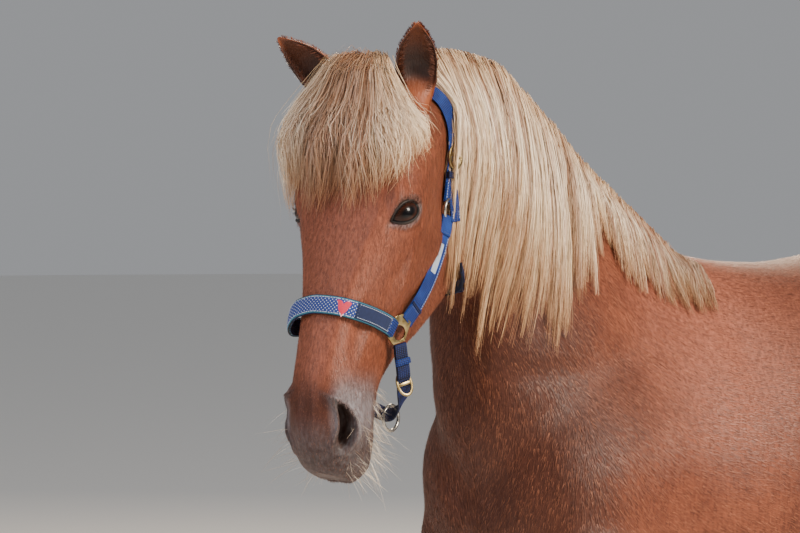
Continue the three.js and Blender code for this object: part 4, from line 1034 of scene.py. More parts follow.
# How far out of the opening each ring of the lids lies, and its height over the ball
LID_RINGS = [
    (0.86, -1.5), (0.95, 0.1), (1.0, 1.5), (1.05, 2.6), (1.12, 3.1), (1.22, 3.2), (1.34, 3.3), (1.5, 2.2),
]
LID_AROUND = 56
PUPIL = (0.62, 1.15, 1.25)  # how fast the colours run along the eye, up it, and in all: a level oval
CORNEA = (0.75, 0.004)  # the share of the ball's radius where it starts, and how much it stands out
for side_name, sign in SIDES.items():
    ball = bmesh.new()
    bmesh.ops.create_uvsphere(ball, u_segments=64, v_segments=40, radius=EYE_RADIUS * 0.001)
    ways = (0, EYE_FACING, EYE_LONG)
    centre, facing, long = (Vector(in_frame_from_head(side_places(EYE + way, sign))) for way in ways)
    out = (facing - centre).normalized()
    long = (long - centre - (long - centre).dot(out) * out).normalized()
    iris = []
    for vert in ball.verts:
        across, tall, depth = vert.co / (EYE_RADIUS * 0.001)
        reach = math.hypot(across * PUPIL[0], tall * PUPIL[1]) if depth > 0 else 1
        iris.append(min(reach * PUPIL[2], 1))
        vert.co.z += max(0, depth - CORNEA[0]) * CORNEA[1]
    basis = Matrix((long, out.cross(long), out)).transposed()
    bmesh.ops.transform(ball, matrix=Matrix.Translation(centre) @ basis.to_4x4(), verts=ball.verts)
    eye = piece(ball, "eyeball_" + side_name)
    set_attribute(eye.data, "iris", iris)
    placed(eye, eye_wet, "eye", "eye_" + side_name)

    angle = circle(LID_AROUND)
    along = np.cos(angle)
    tall = lid_height(along) * np.where(np.sin(angle) > 0, OPENING["over"], -OPENING["under"])
    rings = [EYE + lid_ways(along, tall, grow) * (EYE_RADIUS + lift) for grow, lift in LID_RINGS]
    rings = in_frame_from_head(side_places(rings, sign))
    closed = np.concatenate([rings, rings[:, :1]], 1).reshape(-1, 3)
    margins = np.repeat([float(near(grow, 1.16, 1.0)) for grow, lift in LID_RINGS], LID_AROUND + 1)
    lids = bmesh.new()
    margin_layer = lids.verts.layers.float.new("margin")
    made = bmesh.ops.create_grid(lids, x_segments=LID_AROUND, y_segments=len(rings) - 1, size=1)
    for vert, place, dark in zip(made["verts"], closed, margins):
        vert.co = place
        vert[margin_layer] = dark
    bmesh.ops.remove_doubles(lids, verts=lids.verts, dist=1e-7)
    lid = piece(lids, "lids_" + side_name)
    if lid.data.polygons[0].normal @ out < 0:
        lid.data.flip_normals()
    placed(lid, lid_skin, "skin_dark")


# Hair in general: each tuft or strand is a thin flat shape, and a small patch on the skin's own map at the
# place of its root. Long hair and straps are laid on a plain shape of trunk, neck and head, straight ahead.
PATCH = 0.003  # how much of the map one hair takes


def joined(name, places, faces, uv, finish, slot, **tones):
    """Many small shapes as one mesh, each with its own patch on the map and its own tones."""
    mesh = bpy.data.meshes.new(name)
    per_face = faces.shape[1]
    mesh.vertices.add(len(places))
    mesh.vertices.foreach_set("co", np.ascontiguousarray(places, np.float32).ravel())
    mesh.loops.add(faces.size)
    mesh.loops.foreach_set("vertex_index", faces.astype(np.int32).ravel())
    mesh.polygons.add(len(faces))
    mesh.polygons.foreach_set("loop_start", np.arange(0, faces.size, per_face, dtype=np.int32))
    mesh.update(calc_edges=True)
    mesh.shade_smooth()
    set_uv(mesh, uv[faces.ravel()])
    for tone, values in tones.items():
        set_attribute(mesh, tone, values)
    made = bpy.data.objects.new(name, mesh)
    bpy.context.scene.collection.objects.link(made)
    return placed(made, finish, slot)


def strands(name, paths, across, root_uv, finish, slot="mane_hair", **tones):
    """Hairs as thin ribbons: paths and half widths in millimetres straight ahead, one tone each."""
    count, steps = paths.shape[:2]
    places = in_frame(turned(np.stack([paths - across, paths + across], 2))).reshape(-1, 3)
    base = np.arange(count)[:, None] * steps * 2 + np.arange(steps - 1)[None] * 2
    faces = np.stack([base, base + 1, base + 3, base + 2], -1).reshape(-1, 4)
    along = np.broadcast_to(np.linspace(0, 1, steps)[None, :, None], (count, steps, 2))
    patch = np.stack([np.broadcast_to([0, 1], (count, steps, 2)), along], -1) * PATCH
    uv = (root_uv[:, None, None] + patch).reshape(-1, 2)
    spread = {tone: np.repeat(values, steps * 2) for tone, values in tones.items()}
    return joined(name, places, faces, uv, finish, slot, along=along.ravel(), **spread)


def only_dark(dark):
    """The coat's markings for hair that is only darker."""
    return {"dark": dark, **{mark: np.zeros(len(dark)) for mark in ("bare", "pale", "painted_highlight")}}


def uv_of(places):
    part = part_of(places)
    return unwrapped(*around(places, part), part)


def splined(controls, steps):
    """Smooth paths through rows of control points, for all hairs at once."""
    count = controls.shape[1]
    t = np.linspace(0, count - 1, steps)
    i = np.clip(t.astype(int), 0, count - 2)
    w = (t - i)[None, :, None]
    p = [controls[:, np.clip(i + k, 0, count - 1)] for k in (-1, 0, 1, 2)]
    return 0.5 * (
        2 * p[1] + (p[2] - p[0]) * w + (2 * p[0] - 5 * p[1] + 4 * p[2] - p[3]) * w**2
        + (3 * p[1] - p[0] - 3 * p[2] + p[3]) * w**3
    )


def ribbon_sides(paths, out, width, chance, twist=0.6):
    """Half widths across each hair, turned a little at random so that its face catches light its own way."""
    along = unit(np.gradient(paths, axis=1))
    side = unit(np.cross(along, out))
    up = np.cross(side, along)
    turn = chance.normal(0, twist, len(paths))[:, None, None]
    share = np.linspace(0, 1, paths.shape[1])[None, :, None]
    taper = np.minimum(1, 0.55 + 2.5 * share) * (1 - 0.75 * near(share, 0.55, 1))
    return (side * np.cos(turn) + up * np.sin(turn)) * width[:, None, None] / 2 * taper


bed = bmesh.new()
for rings in (FLESH["trunk"], neck_rings(60, 64), head_ahead(head_rings(step=5, per_edge=10))):
    wrap(bed, rings)
bmesh.ops.recalc_face_normals(bed, faces=bed.faces)
bed_tree = BVHTree.FromBMesh(bed)
bed.free()


# The mane: straight silky hair, brown at its roots and cream below, thrown over to the horse's left.
# It stands up a little on the crest, arches over and hangs in narrow locks with thin uneven ends.
MANE = {
    "hairs": 24000, "locks": 420, "steps": 10, "width": 1.25,
    "stand": 21, "thick": 22, "band": 15, "strays": 0.035,
}
# Rows: station along the neck; fall; drift towards the back; thickness share
MANE_ROWS = [
    (-0.05, 55, -18, 0.3),
    (0.06, 85, -28, 0.5),
    (0.15, 108, -15, 0.6),
    (0.25, 116, -16, 0.7),
    (0.34, 128, -25, 0.8),
    (0.42, 112, -25, 0.8),
    (0.46, 130, -34, 0.85),
    (0.5, 195, -64, 0.9),
    (0.56, 245, -72, 1),
    (0.65, 340, -75, 1),
    (0.75, 366, -74, 1),
    (0.85, 380, -34, 1),
    (0.95, 345, -10, 1),
    (1.08, 300, 0, 0.8),
]
MANE_DROPS = np.linspace(0, 420, 29)
MANE_STATIONS = np.linspace(MANE_ROWS[0][0], MANE_ROWS[-1][0], 60)
crest_line = through(MANE_STATIONS, neck_sizes(MANE_STATIONS)[:, :2])
mane_sizes = sizes(MANE_ROWS)


def mane_bed_row(station):
    """How far to the left the neck reaches at each drop under the crest."""
    crest_x, crest_z = neck_sizes(station)[0, :2]
    fall, drift, thick = mane_sizes(station)[0]
    row, y = [], 0
    for drop in MANE_DROPS:
        share = min(drop / fall, 1.2)
        place = Vector((crest_x - drift * share, 500, crest_z - drop))
        hit = bed_tree.ray_cast(place, Vector((0, -1, 0)))[0]
        y = max(hit.y if hit else 6, y - 2.2)
        row.append(y)
    return row


mane_bed = np.array([mane_bed_row(s) for s in MANE_STATIONS])


def looked_up(table, rows, columns):
    """Values between a table's entries, at broken places along its rows and columns."""
    r, c = np.clip(rows, 0, table.shape[0] - 1.001), np.clip(columns, 0, table.shape[1] - 1.001)
    i, j = r.astype(int), c.astype(int)
    a, b = r - i, c - j
    if table.ndim == 3:
        a, b = a[..., None], b[..., None]
    top = table[i, j] * (1 - b) + table[i, j + 1] * b
    return top * (1 - a) + (table[i + 1, j] * (1 - b) + table[i + 1, j + 1] * b) * a


FALL_SHARES = np.array([0.06, 0.2, 0.38, 0.56, 0.78, 1])
MANE_GATHER = np.array([0, 0.05, 0.12, 0.25, 0.4, 0.55, 0.64, 0.66, 0.6])  # into locks, at each control point


def mane_controls(station, root_y, fall, lift, stand):
    """Control points of hairs that rise from the crest, turn over it and fall down the neck's left side."""
    crest = crest_line(station)
    drift = mane_sizes(station)[:, 1]
    row = (station - MANE_STATIONS[0]) / (MANE_STATIONS[1] - MANE_STATIONS[0])
    x = crest[:, :1] - drift[:, None] * FALL_SHARES
    drops = fall[:, None] * FALL_SHARES
    y = looked_up(mane_bed, row[:, None] + 0 * drops, drops / MANE_DROPS[1])
    y = np.maximum(y, 10) + lift[:, None] * (0.9 - 0.35 * FALL_SHARES)
    z = crest[:, 1:] - drops + stand[:, None] * np.array([0.45, 0.1, 0, 0, 0, 0])
    side = np.stack([x, y, z], -1)
    roots = np.stack([crest[:, 0], root_y, crest[:, 1] - 7 - 0.1 * np.abs(root_y)], -1)
    risen = roots + np.stack([np.zeros_like(stand), 2 + 0.1 * lift, stand * 1.1 + 4], -1)
    over = roots + np.stack([-0.02 * drift, 11 + 0.55 * lift, stand * 1.25 + 5], -1)
    return np.concatenate([roots[:, None], risen[:, None], over[:, None], side], 1)


chance = np.random.default_rng(11)
count = MANE["hairs"]
lock_station = np.sort(chance.uniform(MANE_STATIONS[0], MANE_STATIONS[-1], MANE["locks"]))
lock_fall = chance.uniform(0.56, 1.14, MANE["locks"]) * mane_sizes(lock_station)[:, 0]
lock_lift = chance.uniform(0.1, 1, MANE["locks"]) * MANE["thick"] * mane_sizes(lock_station)[:, 2]
lock_tone = chance.uniform(0, 1, MANE["locks"])
lock_sway = chance.normal(0, 5, MANE["locks"])
own = np.sort(chance.uniform(MANE_STATIONS[0], MANE_STATIONS[-1], count))
of = np.clip(np.searchsorted(lock_station, own + chance.normal(0, 0.006, count)), 0, MANE["locks"] - 1)
own_fall = lock_fall[of] * chance.uniform(0.4, 1.08, count) ** 0.75
stand = MANE["stand"] * mane_sizes(own)[:, 2] * chance.uniform(0.35, 1.1, count)
root_y = chance.uniform(-1, 1, count) * MANE["band"] * 0.5
lift = lock_lift[of] * 0.75 + chance.uniform(0, 1, count) * 9
single = mane_controls(own, root_y, own_fall, lift, stand)
bunched = mane_controls(lock_station[of], root_y * 0.4, own_fall, lift, stand)
gather = MANE_GATHER[None, :, None] * chance.uniform(0.5, 1.1, (count, 1, 1))
controls = single * (1 - gather) + bunched * gather
share = np.linspace(0, 1, controls.shape[1])[None]
each = controls.shape[:2]
controls[..., 0] += lock_sway[of][:, None] * share**1.5 + chance.normal(0, 2.6, each) * share
controls[..., 1] += np.abs(chance.normal(0, 1.5, each)) * share
paths = splined(controls, MANE["steps"])
stray = chance.random(count) < MANE["strays"]
steps = np.linspace(0, 1, MANE["steps"])[None, :, None]
paths[stray] += chance.normal(0, 1, (stray.sum(), 1, 3)) * (6, 5, 7) * steps
width = MANE["width"] * chance.uniform(0.6, 1.15, count)
width[stray] *= 0.5
out = np.broadcast_to(np.array([0, 0.9, 0.45]), paths.shape)
across = ribbon_sides(paths, out, width, chance)
# painted shade: hairs that lie deep against the neck are darker
deep = 1 - near(lift, 2, 22)
tone = np.clip(0.7 * lock_tone[of] ** 2 + 0.5 * chance.random(count) ** 1.5 + 0.5 * deep, 0, 1)
warm = near(own, 0.55, 0.1) * 0.5 + 0.35 * lock_tone[of] ** 3 + chance.normal(0.04, 0.16, count)
warm = np.clip(warm, 0, 1)
root_uv = uv_of(controls[:, 0])

# Silky and cream, brown at the roots and a little darker towards the thin ends. Its tone darkens some hairs
# at random, and, as painted shade, those that lie deep in the mane or the forelock
mane_hair, tree, shader = material("flaxen_horse_hair")
ALONG = [
    (0, "#6E3F22"), (0.1, "#A06C40"), (0.26, "#E2C197"), (0.55, "#FFEDD0"), (0.85, "#F7DDB4"), (1, "#D0A070"),
]
colour = ramp(tree, attribute(tree, "along"), ALONG)
colour = mix(tree, ranged(tree, attribute(tree, "tone"), 0.3, 1, 0, 0.85), colour, "#8F5A33")
colour = mix(tree, ranged(tree, attribute(tree, "warm"), 0, 1, 0, 0.8), colour, "#82452A")
surface(tree, shader, colour, 0.42, more={"Sheen Weight": 0.2, "Sheen Tint": "#FFF1DC"})


def in_pieces(name, count, paths, across, root_uv, tone, warm):
    """Long hair as several meshes, dealt out to them hair by hair."""
    for i in range(count):
        take = slice(i, None, count)
        strands(f"{name}_{i + 1}", paths[take], across[take], root_uv[take], mane_hair,
                tone=tone[take], warm=warm[take])


in_pieces("mane", 3, paths, across, root_uv, tone, warm)


# The forelock: a thick mop that springs from a whorl between the ears and falls over the brow.
# Most of it goes to the horse's right, frizzy and golden in the middle, and nearly white over the top,
# with painted shade on the hairs that lie lowest.
HEAD_XS = np.arange(-70, 321, 8.0)
HEAD_ANGLES = np.arange(-125, 126, 5.0)
head_sizes = sizes(HEAD)


def cast_on_head(x, angle, far=400):
    """The head's surface by the distance down the nose and the angle to the left, seen from so far outside:
    the place, the way out from the head's middle, and the way that the surface faces."""
    size = head_sizes(x)[0]
    away = np.array([0, math.sin(angle), math.cos(angle)])
    start = head_ahead(np.array([x, 0, (size[0] + size[7]) / 2]) + away * far)
    away = away @ head_axes
    hit, facing = bed_tree.ray_cast(Vector(start), Vector(-away))[:2]
    return np.array(hit), away, np.array(facing)


head_table = np.array([
    [np.concatenate(cast_on_head(x, angle)[:2]) for angle in np.radians(HEAD_ANGLES)] for x in HEAD_XS
])


def on_head(x, degrees, lift=0):
    """Places on the head by distance down the nose and angle to the left, lifted off it, and ways out."""
    rows = (np.asarray(x) - HEAD_XS[0]) / (HEAD_XS[1] - HEAD_XS[0])
    columns = (np.asarray(degrees) - HEAD_ANGLES[0]) / (HEAD_ANGLES[1] - HEAD_ANGLES[0])
    found = looked_up(head_table, rows, columns)
    out = unit(found[..., 3:])
    return found[..., :3] + out * np.asarray(lift)[..., None], out


FORELOCK = {"hairs": 11500, "locks": 360, "steps": 11, "width": 1.15, "strays": 0.09}
FORELOCK_DOME = np.array([(-20, -2, -8), (52, 76, 42)])  # its middle and reach over the poll
# Rows: fan angle; where its hairs end down the nose; height over the brow; height of the ends
FORELOCK_ROWS = [
    (-96, 100, 58, 38),
    (-76, 130, 66, 36),
    (-54, 152, 66, 27),
    (-30, 166, 55, 18),
    (0, 170, 44, 14),
    (22, 160, 40, 13),
    (38, 116, 28, 11),
    (54, 66, 18, 10),
]
FORELOCK_SHARES = np.array([0.24, 0.42, 0.6, 0.8, 1])
FORELOCK_HEIGHTS = np.array([1, 1, 0.86, 0.4, 0])
forelock_sizes = sizes(FORELOCK_ROWS)
chance = np.random.default_rng(5)
count, locks = FORELOCK["hairs"], FORELOCK["locks"]
fans = FORELOCK_ROWS[0][0], FORELOCK_ROWS[-1][0]
lock_fan = np.sort(chance.uniform(*fans, locks))
lock_end = chance.uniform(0.6, 1.16, locks)
lock_level = chance.uniform(0.1, 1, locks)
lock_wave = chance.uniform(0, 2 * np.pi, locks)
lock_tone = chance.uniform(0, 1, locks)
fan = chance.uniform(*fans, count)
of = np.clip(np.searchsorted(lock_fan, fan + chance.normal(0, 3, count)), 0, locks - 1)
end, high, low = forelock_sizes(fan).T
end = end * lock_end[of] * chance.uniform(0.4, 1.08, count) ** 0.7
level = np.clip(0.55 * lock_level[of] + 0.45 * chance.random(count), 0, 1)


def over_dome(back, fan, level):
    """Places in the dome of hair over the poll: leaning back by an angle, at a share of its reach."""
    back, fan = np.radians(back), np.radians(fan)
    over, aside = power(np.cos(fan), 0.8), power(np.sin(fan), 0.8)
    way = np.stack([-np.sin(back), np.cos(back) * aside, np.cos(back) * over], -1)
    return head_ahead(FORELOCK_DOME[0] + FORELOCK_DOME[1] * way * level[:, None]), way @ head_axes


share = FORELOCK_SHARES[None]
gather = share**0.8 * chance.uniform(0.3, 0.85, (count, 1))
angle = fan[:, None] * (1 - gather) + lock_fan[of][:, None] * gather
angle = angle * (0.62 + 0.7 * share - 0.32 * share**2)
angle = angle + 3.5 * np.sin(share * 7 + lock_wave[of][:, None]) * share
angle = angle + chance.normal(0, 1.5, (count, 5)) * share
rise = low[:, None] * (1 - FORELOCK_HEIGHTS) + high[:, None] * FORELOCK_HEIGHTS
rise = rise * (0.2 + 0.95 * level[:, None]) + np.abs(chance.normal(0, 2, (count, 5))) * share
brow, brow_out = on_head(end[:, None] * share, angle, rise)
root, root_out = on_head(chance.uniform(-30, 8, count), 8 + fan * 0.35, np.full(count, -6.0))
lean = chance.uniform(4, 50, count)
first, first_out = over_dome(lean, 8 + fan * 0.85, 0.4 + 0.62 * level)
second, second_out = over_dome(lean * 0.45, fan * 0.95, 0.45 + 0.64 * level)
controls = np.concatenate([root[:, None], first[:, None], second[:, None], brow], 1)
out = np.concatenate([root_out[:, None], first_out[:, None], second_out[:, None], brow_out], 1)
controls[:, 2:] += chance.normal(0, 1.6, controls[:, 2:].shape)
paths = splined(controls, FORELOCK["steps"])
crimp = np.linspace(0, 1, FORELOCK["steps"])[None, :, None] ** 0.6
paths = paths + chance.normal(0, 1.0, paths.shape) * crimp
stray = chance.random(count) < FORELOCK["strays"]
paths[stray] += chance.normal(0, 1, (stray.sum(), 1, 3)) * (10, 12, 15) * crimp
paths[stray] += out[stray].mean(1)[:, None] * 12 * chance.random((stray.sum(), 1, 1)) * crimp
width = FORELOCK["width"] * chance.uniform(0.55, 1.1, count)
width[stray] *= 0.5
across = ribbon_sides(paths, splined(out, FORELOCK["steps"]), width, chance, twist=0.7)
golden = np.exp(-(((fan + 2) / 40) ** 2)) * chance.uniform(0.7, 1.2, count) - 0.2 * near(fan, -40, -75)
tone = 0.8 * (0.5 * lock_tone[of] + 0.5 * chance.random(count) - 0.5)
# painted shade: the hairs that lie lowest, nearest the brow, are darker
tone = np.clip(0.15 + 0.8 * golden + 0.3 * (1 - level) + tone, 0, 1)
warm = np.clip(0.36 * golden + chance.normal(0.03, 0.1, count), 0, 1)
in_pieces("forelock", 2, paths, across, uv_of(root), tone, warm)


# The ears: upright cups of thin gristle that open forward and out, furred outside and hairy within.
# Each grows out of the skull behind the brow, and its cup is darker than its back.
EAR = {"x": -4, "y": {1: 65, -1: 73}, "z": -46, "length": 135}
EAR_UPS = {1: (-0.68, 0.3, 0.67), -1: (-0.58, 0.55, 0.6)}
EAR_OPENS = {1: (0.35, 0.62, 0.7), -1: (0.42, -0.1, 0.9)}
# Rows: share of the length; half width; depth of the back; of the cup, as a share of the back
EAR_ROWS = [
    (-0.16, 17, 17, 1.2),
    (0, 21, 20, 1.2),
    (0.14, 26, 22, 0.7),
    (0.26, 29, 22, -0.35),
    (0.44, 30, 20, -0.76),
    (0.64, 26, 17, -0.76),
    (0.82, 16, 11, -0.66),
    (0.94, 7, 5, -0.3),
    (1, 2, 2, 0),
]
ear_sizes = sizes(EAR_ROWS)
EAR_ARC, EAR_STEPS = 18, 46


def ear_axes(sign):
    up = unit(EAR_UPS[sign])
    facing = square_to(np.array(EAR_OPENS[sign]), up)
    return up, facing, np.cross(up, facing)


def ear_foot(sign):
    return np.array([EAR["x"], EAR["y"][sign], EAR["z"]])


def ear_place(sign, share, angle, inside):
    """Places on one ear, in the head's axes: up its length, round its edge, on its back or in its cup."""
    up, facing, across = ear_axes(sign)
    share, angle = np.asarray(share, float), np.asarray(angle, float)
    width, back, cup = ear_sizes(share.ravel()).T.reshape(3, *share.shape)
    bow = 12 * share**2 - 9 * np.sin(np.maximum(0, share) * np.pi)
    inset = np.where(inside, np.minimum(2.5, width * 0.2), 0)
    depth = np.where(inside, back * cup, -back)
    middle = ear_foot(sign) + (share * EAR["length"])[..., None] * up
    made = middle + bow[..., None] * facing + ((width - inset) * np.sin(angle))[..., None] * across
    return (made + (depth * np.cos(angle))[..., None] * facing) * (1, sign, 1)


# The coat's own colours with their painted highlight and painted shade, darker or lighter from tuft to tuft,
# with a soft satin shine
tuft_hair, tree, shader = material("chestnut_hair_tips")
colour = coat_colour(tree)
colour = mix(tree, ranged(tree, attribute(tree, "tone"), 0.5, 0, 0, 0.75), colour, "#3A190B")
colour = mix(tree, ranged(tree, attribute(tree, "tone"), 0.5, 1, 0, 0.4), colour, "#B97553")
surface(tree, shader, colour, 0.5, more={
    "Specular IOR Level": 0.35, "Sheen Weight": 0.06, "Sheen Tint": "#FFD2B4"})

# Red-brown outside with the grain of short fur, and nearly black in the cup
ear_skin, tree, shader = material("thin_furred_ear")
colour = mix(tree, noise(tree, 12), "#7E3C1D", "#985029")
colour = mix(tree, attribute(tree, "inner"), colour, mix(tree, noise(tree, 9), "#1C0B06", "#43200F"))
surface(tree, shader, colour, 0.55, (noise(tree, 3, stretch=(1, 1, 4)), 0.5, 0.002))

EAR_HAIR = {"outside": 1700, "rim": 900}
chance = np.random.default_rng(31)
for side_name, sign in SIDES.items():
    up, facing, across = ear_axes(sign)
    shares = np.linspace(EAR_ROWS[0][0], 1, EAR_STEPS)[:, None] + np.zeros(EAR_ARC)
    outer = ear_place(sign, shares, np.linspace(-1.75, 1.75, EAR_ARC) + 0 * shares, False)
    cup = ear_place(sign, shares, np.linspace(1.6, -1.6, EAR_ARC) + 0 * shares, True)
    ear = bmesh.new()
    wrap(ear, in_frame_from_head(np.concatenate([outer, cup], 1)))
    made = piece(ear, "ear_shell_" + side_name)
    heads = in_head_axes(made.data) * (1, sign, 1)
    aside = (heads - ear_foot(sign)) @ across
    height = (heads - ear_foot(sign)) @ up / EAR["length"]
    angle = np.arcsin(np.clip(aside / np.maximum(ear_sizes(height)[:, 0], 1), -1, 1))
    away = (heads - ear_place(sign, height, angle, False) * (1, sign, 1)) @ facing
    set_attribute(made.data, "inner", near(away, 1.5, 5) * near(height, 0.12, 0.3))
    chart = CHART_NAMES.index("ear_" + side_name)
    corner_vert = listed(made.data.loops, "vertex_index")
    turn_at = np.arctan2(aside, away - 8)
    set_uv(made.data, unwrapped(height[corner_vert], turn_at[corner_vert], np.full(len(corner_vert), chart)))
    placed(made, ear_skin, "coat", "ear_" + side_name)

    # hair: short outside along the ear, longer from the rims into the cup and at the foot
    count = sum(EAR_HAIR.values())
    share = np.concatenate([
        chance.uniform(0.02, 0.97, EAR_HAIR["outside"]), chance.uniform(0.04, 0.8, EAR_HAIR["rim"])])
    rim = np.arange(count) >= EAR_HAIR["outside"]
    on_rim = chance.choice([-1, 1], count) * chance.uniform(1.2, 1.62, count)
    angle = np.where(rim, on_rim, chance.uniform(-1.7, 1.7, count))
    roots = ear_place(sign, share, angle, rim)
    up, facing, across = (side_places(axis, sign) for axis in (up, facing, across))
    inward = -np.sign(np.sin(angle))[:, None] * across
    along_ear = up - 0.12 * facing * np.cos(angle)[:, None]
    way = np.where(rim[:, None], 0.55 * up + 0.75 * inward + 0.35 * facing, along_ear)
    way = unit(way + chance.normal(0, 0.16, way.shape))
    rim_long = chance.uniform(8, 17, count) * (1 - 0.5 * share)
    long = np.where(rim, rim_long, chance.uniform(2.5, 5, count))
    outward = across * np.sin(angle)[:, None] - facing * np.cos(angle)[:, None]
    outward = np.where(rim[:, None], facing, outward)
    t = np.linspace(0, 1, 4)[None, :, None]
    off = outward[:, None] * (0.6 + 1.2 * t) * (1 - rim[:, None, None] * t)
    ahead = head_ahead(roots[:, None] + way[:, None] * long[:, None, None] * t + off)
    width = np.where(rim, 0.8, 1.1) * chance.uniform(0.6, 1.1, count)
    out = np.broadcast_to((outward @ head_axes)[:, None], ahead.shape)
    across_hair = ribbon_sides(ahead, out, width, chance, 0.3)
    root_uv = unwrapped(share, angle, np.full(count, chart))
    strands("ear_hair_" + side_name, ahead, across_hair, root_uv, tuft_hair, "coat",
            tone=chance.uniform(0.1, 0.75, count), **only_dark(np.where(rim, 0.75, 0.1)))


# The coat: short hair that lies flat along the body and grows out of the skin, thin enough to show as a
# fine grain. Each tuft is a few hairs, shortest on the face, short on the legs and longest under the belly.
def bent(ways, ahead):
    """Ways at places straight ahead, swung with the turned neck and head."""
    angle = np.clip((ahead[:, 0] - TURN_FROM) / (TURN_TO - TURN_FROM), 0, 1) * HEAD_TURN
    cos, sin = np.cos(angle), np.sin(angle)
    return np.stack([ways[:, 0] * cos - ways[:, 1] * sin, ways[:, 0] * sin + ways[:, 1] * cos, ways[:, 2]], 1)


WHORL = np.array([118.0, 0, 8])


def lie(ahead):
    """Which way the coat lies at places straight ahead."""
    head = in_head(ahead)
    x, y, z = ahead.T
    on_the_head = near(head[:, 0], -30, 60) * (x > 740)
    share, over = neck_share(ahead)
    on_neck = near(over_neck_base(x, z), -60000, 60000)
    on_leg = near(z, 800, 640) * near(np.abs(y), 30, 60)
    breast = near(x, 560, 660) * near(z, 1250, 1100)
    way = np.tile([-0.86, 0, -0.42], (len(ahead), 1))
    way += on_neck[:, None] * (np.array([-0.6, 0, -0.95]) - way)
    way += breast[:, None] * (np.stack([0 * x - 0.1, -0.3 * np.sign(y), 0 * x - 1], 1) - way)
    way += on_leg[:, None] * (np.array([-0.14, 0, -1]) - way)
    cheek = near(head[:, 2], -50, -190)
    down = np.stack([1 - 0.45 * cheek, 0.12 * np.sign(y), -0.75 * cheek], 1)
    from_whorl = head - WHORL
    spread = np.linalg.norm(from_whorl, axis=1, keepdims=True)
    radial = from_whorl / np.maximum(spread, 1)
    down += near(spread, 90, 20) * (radial - down)
    way += on_the_head[:, None] * (down @ head_axes - way)
    return unit(way)


def tuft_size(ahead, head_share):
    """Length and width of the coat's tufts."""
    head = in_head(ahead)
    x, y, z = ahead.T
    long = 13 + 4 * near(z, 800, 700) * near(x, 500, 300)
    long = long * (1 - 0.35 * near(z, 700, 400))
    face = 8 - 3 * near(head[:, 0], 380, 480)
    long = long + head_share * (face - long)
    wide = 1.7 - 0.7 * head_share
    return long, wide


def coat_weight(ahead):
    """How close the tufts stand."""
    head = in_head(ahead)
    x, y, z = ahead.T
    of_head = near(head[:, 0], -30, 60) * (x > 740)
    weight = 0.55 + 3.4 * of_head + 1.1 * near(x, 0, 420) * (1 - of_head) + 0.5 * near(z, 700, 500)
    eye, tall = eye_share(head)
    shut = (eye < 1.5) & (np.linalg.norm(mirrored(head) - EYE, axis=1) < 60)
    shut |= (nostril_share(head) < 1.15) & (head[:, 0] > 400)
    return np.where(shut, 0, weight)


TUFTS = 390000
COAT_PIECES = 3
chance = np.random.default_rng(2)
skin.data.calc_loop_triangles()
corners = listed(skin.data.loop_triangles, "vertices", 3).reshape(-1, 3)
at = co_of(skin.data)
middle = at[corners].mean(1)
a, b, c = (at[corners[:, i]] for i in range(3))
area = np.linalg.norm(np.cross(b - a, c - a), axis=1)
weight = area * coat_weight(unturned(middle / 0.001 - SHIFT))
chosen = chance.choice(len(corners), TUFTS, p=weight / weight.sum())
share = chance.random((TUFTS, 2))
over = share.sum(1) > 1
share[over] = 1 - share[over]
share = np.column_stack([1 - share.sum(1), share])[..., None]
roots = (at[corners[chosen]] * share).sum(1)
facing = unit((normals_of(skin.data)[corners[chosen]] * share).sum(1))
ahead = unturned(roots / 0.001 - SHIFT)
marks = markings(ahead)
long, wide = tuft_size(ahead, marks["head"])
way = square_to(bent(lie(ahead), ahead) + chance.normal(0, 0.13, (TUFTS, 3)), facing)
side = np.cross(way, facing) * (wide * chance.uniform(0.7, 1.2, TUFTS) * 0.0005)[:, None]
long = long * chance.uniform(0.6, 1.2, TUFTS) * 0.001
rise = chance.uniform(0.06, 0.2, TUFTS)
tips = roots + way * long[:, None] + facing * (long * rise)[:, None]
feet = roots - facing * 0.0004
tufts = np.stack([feet - side, feet + side, tips], 1)
root_uv = uv_of(ahead)
patch = np.array([(0, 0), (PATCH, 0), (PATCH / 2, PATCH)])
tone = np.clip(0.5 + chance.normal(0, 0.22, TUFTS), 0, 1)
for i in range(COAT_PIECES):
    take = slice(i, None, COAT_PIECES)
    here = tufts[take]
    uv = (root_uv[take][:, None] + patch).reshape(-1, 2)
    faces = np.arange(len(here) * 3).reshape(-1, 3)
    spread = {name: np.repeat(values[take], 3) for name, values in {**marks, "tone": tone}.items()}
    joined(f"coat_{i + 1}", here.reshape(-1, 3), faces, uv, tuft_hair, "coat", **spread)


# The tail: a bony dock under a heavy fall of long coarse hair, cream with brown at its root,
# that hangs nearly to the fetlocks. Its hairs grow all round the dock and cover it.
# Rows: length down the tail; x and z of its middle; half length and width
TAIL_HAIR = [
    (-34, -712, 1246, 32, 30),
    (0, -742, 1226, 42, 40),
    (90, -800, 1165, 44, 58),
    (250, -822, 1010, 50, 82),
    (450, -818, 810, 50, 92),
    (650, -806, 610, 42, 80),
    (800, -798, 460, 26, 50),
    (880, -794, 380, 6, 10),
]
TAIL = {"hairs": 8200, "locks": 170, "steps": 12, "width": 1.7, "from": -32, "rooted": 330}
TAIL_SHARES = np.array([0, 0.06, 0.16, 0.32, 0.5, 0.7, 0.86, 1])
tail_sizes = sizes(TAIL_HAIR)


def round_tail(at, angle, share):
    """Places round the tail's middle line, and the ways out of it."""
    shape = at.shape
    x, z, long, wide = tail_sizes(at.ravel()).T.reshape(4, *shape)
    ahead = unit((tail_sizes(at.ravel() + 4) - tail_sizes(at.ravel() - 4))[:, :2].reshape(*shape, 2))
    back = np.cos(angle) * long
    out = np.stack([ahead[..., 1] * back, np.sin(angle) * wide, -ahead[..., 0] * back], -1)
    return np.stack([x, 0 * x, z], -1) + out * share[..., None], unit(out)


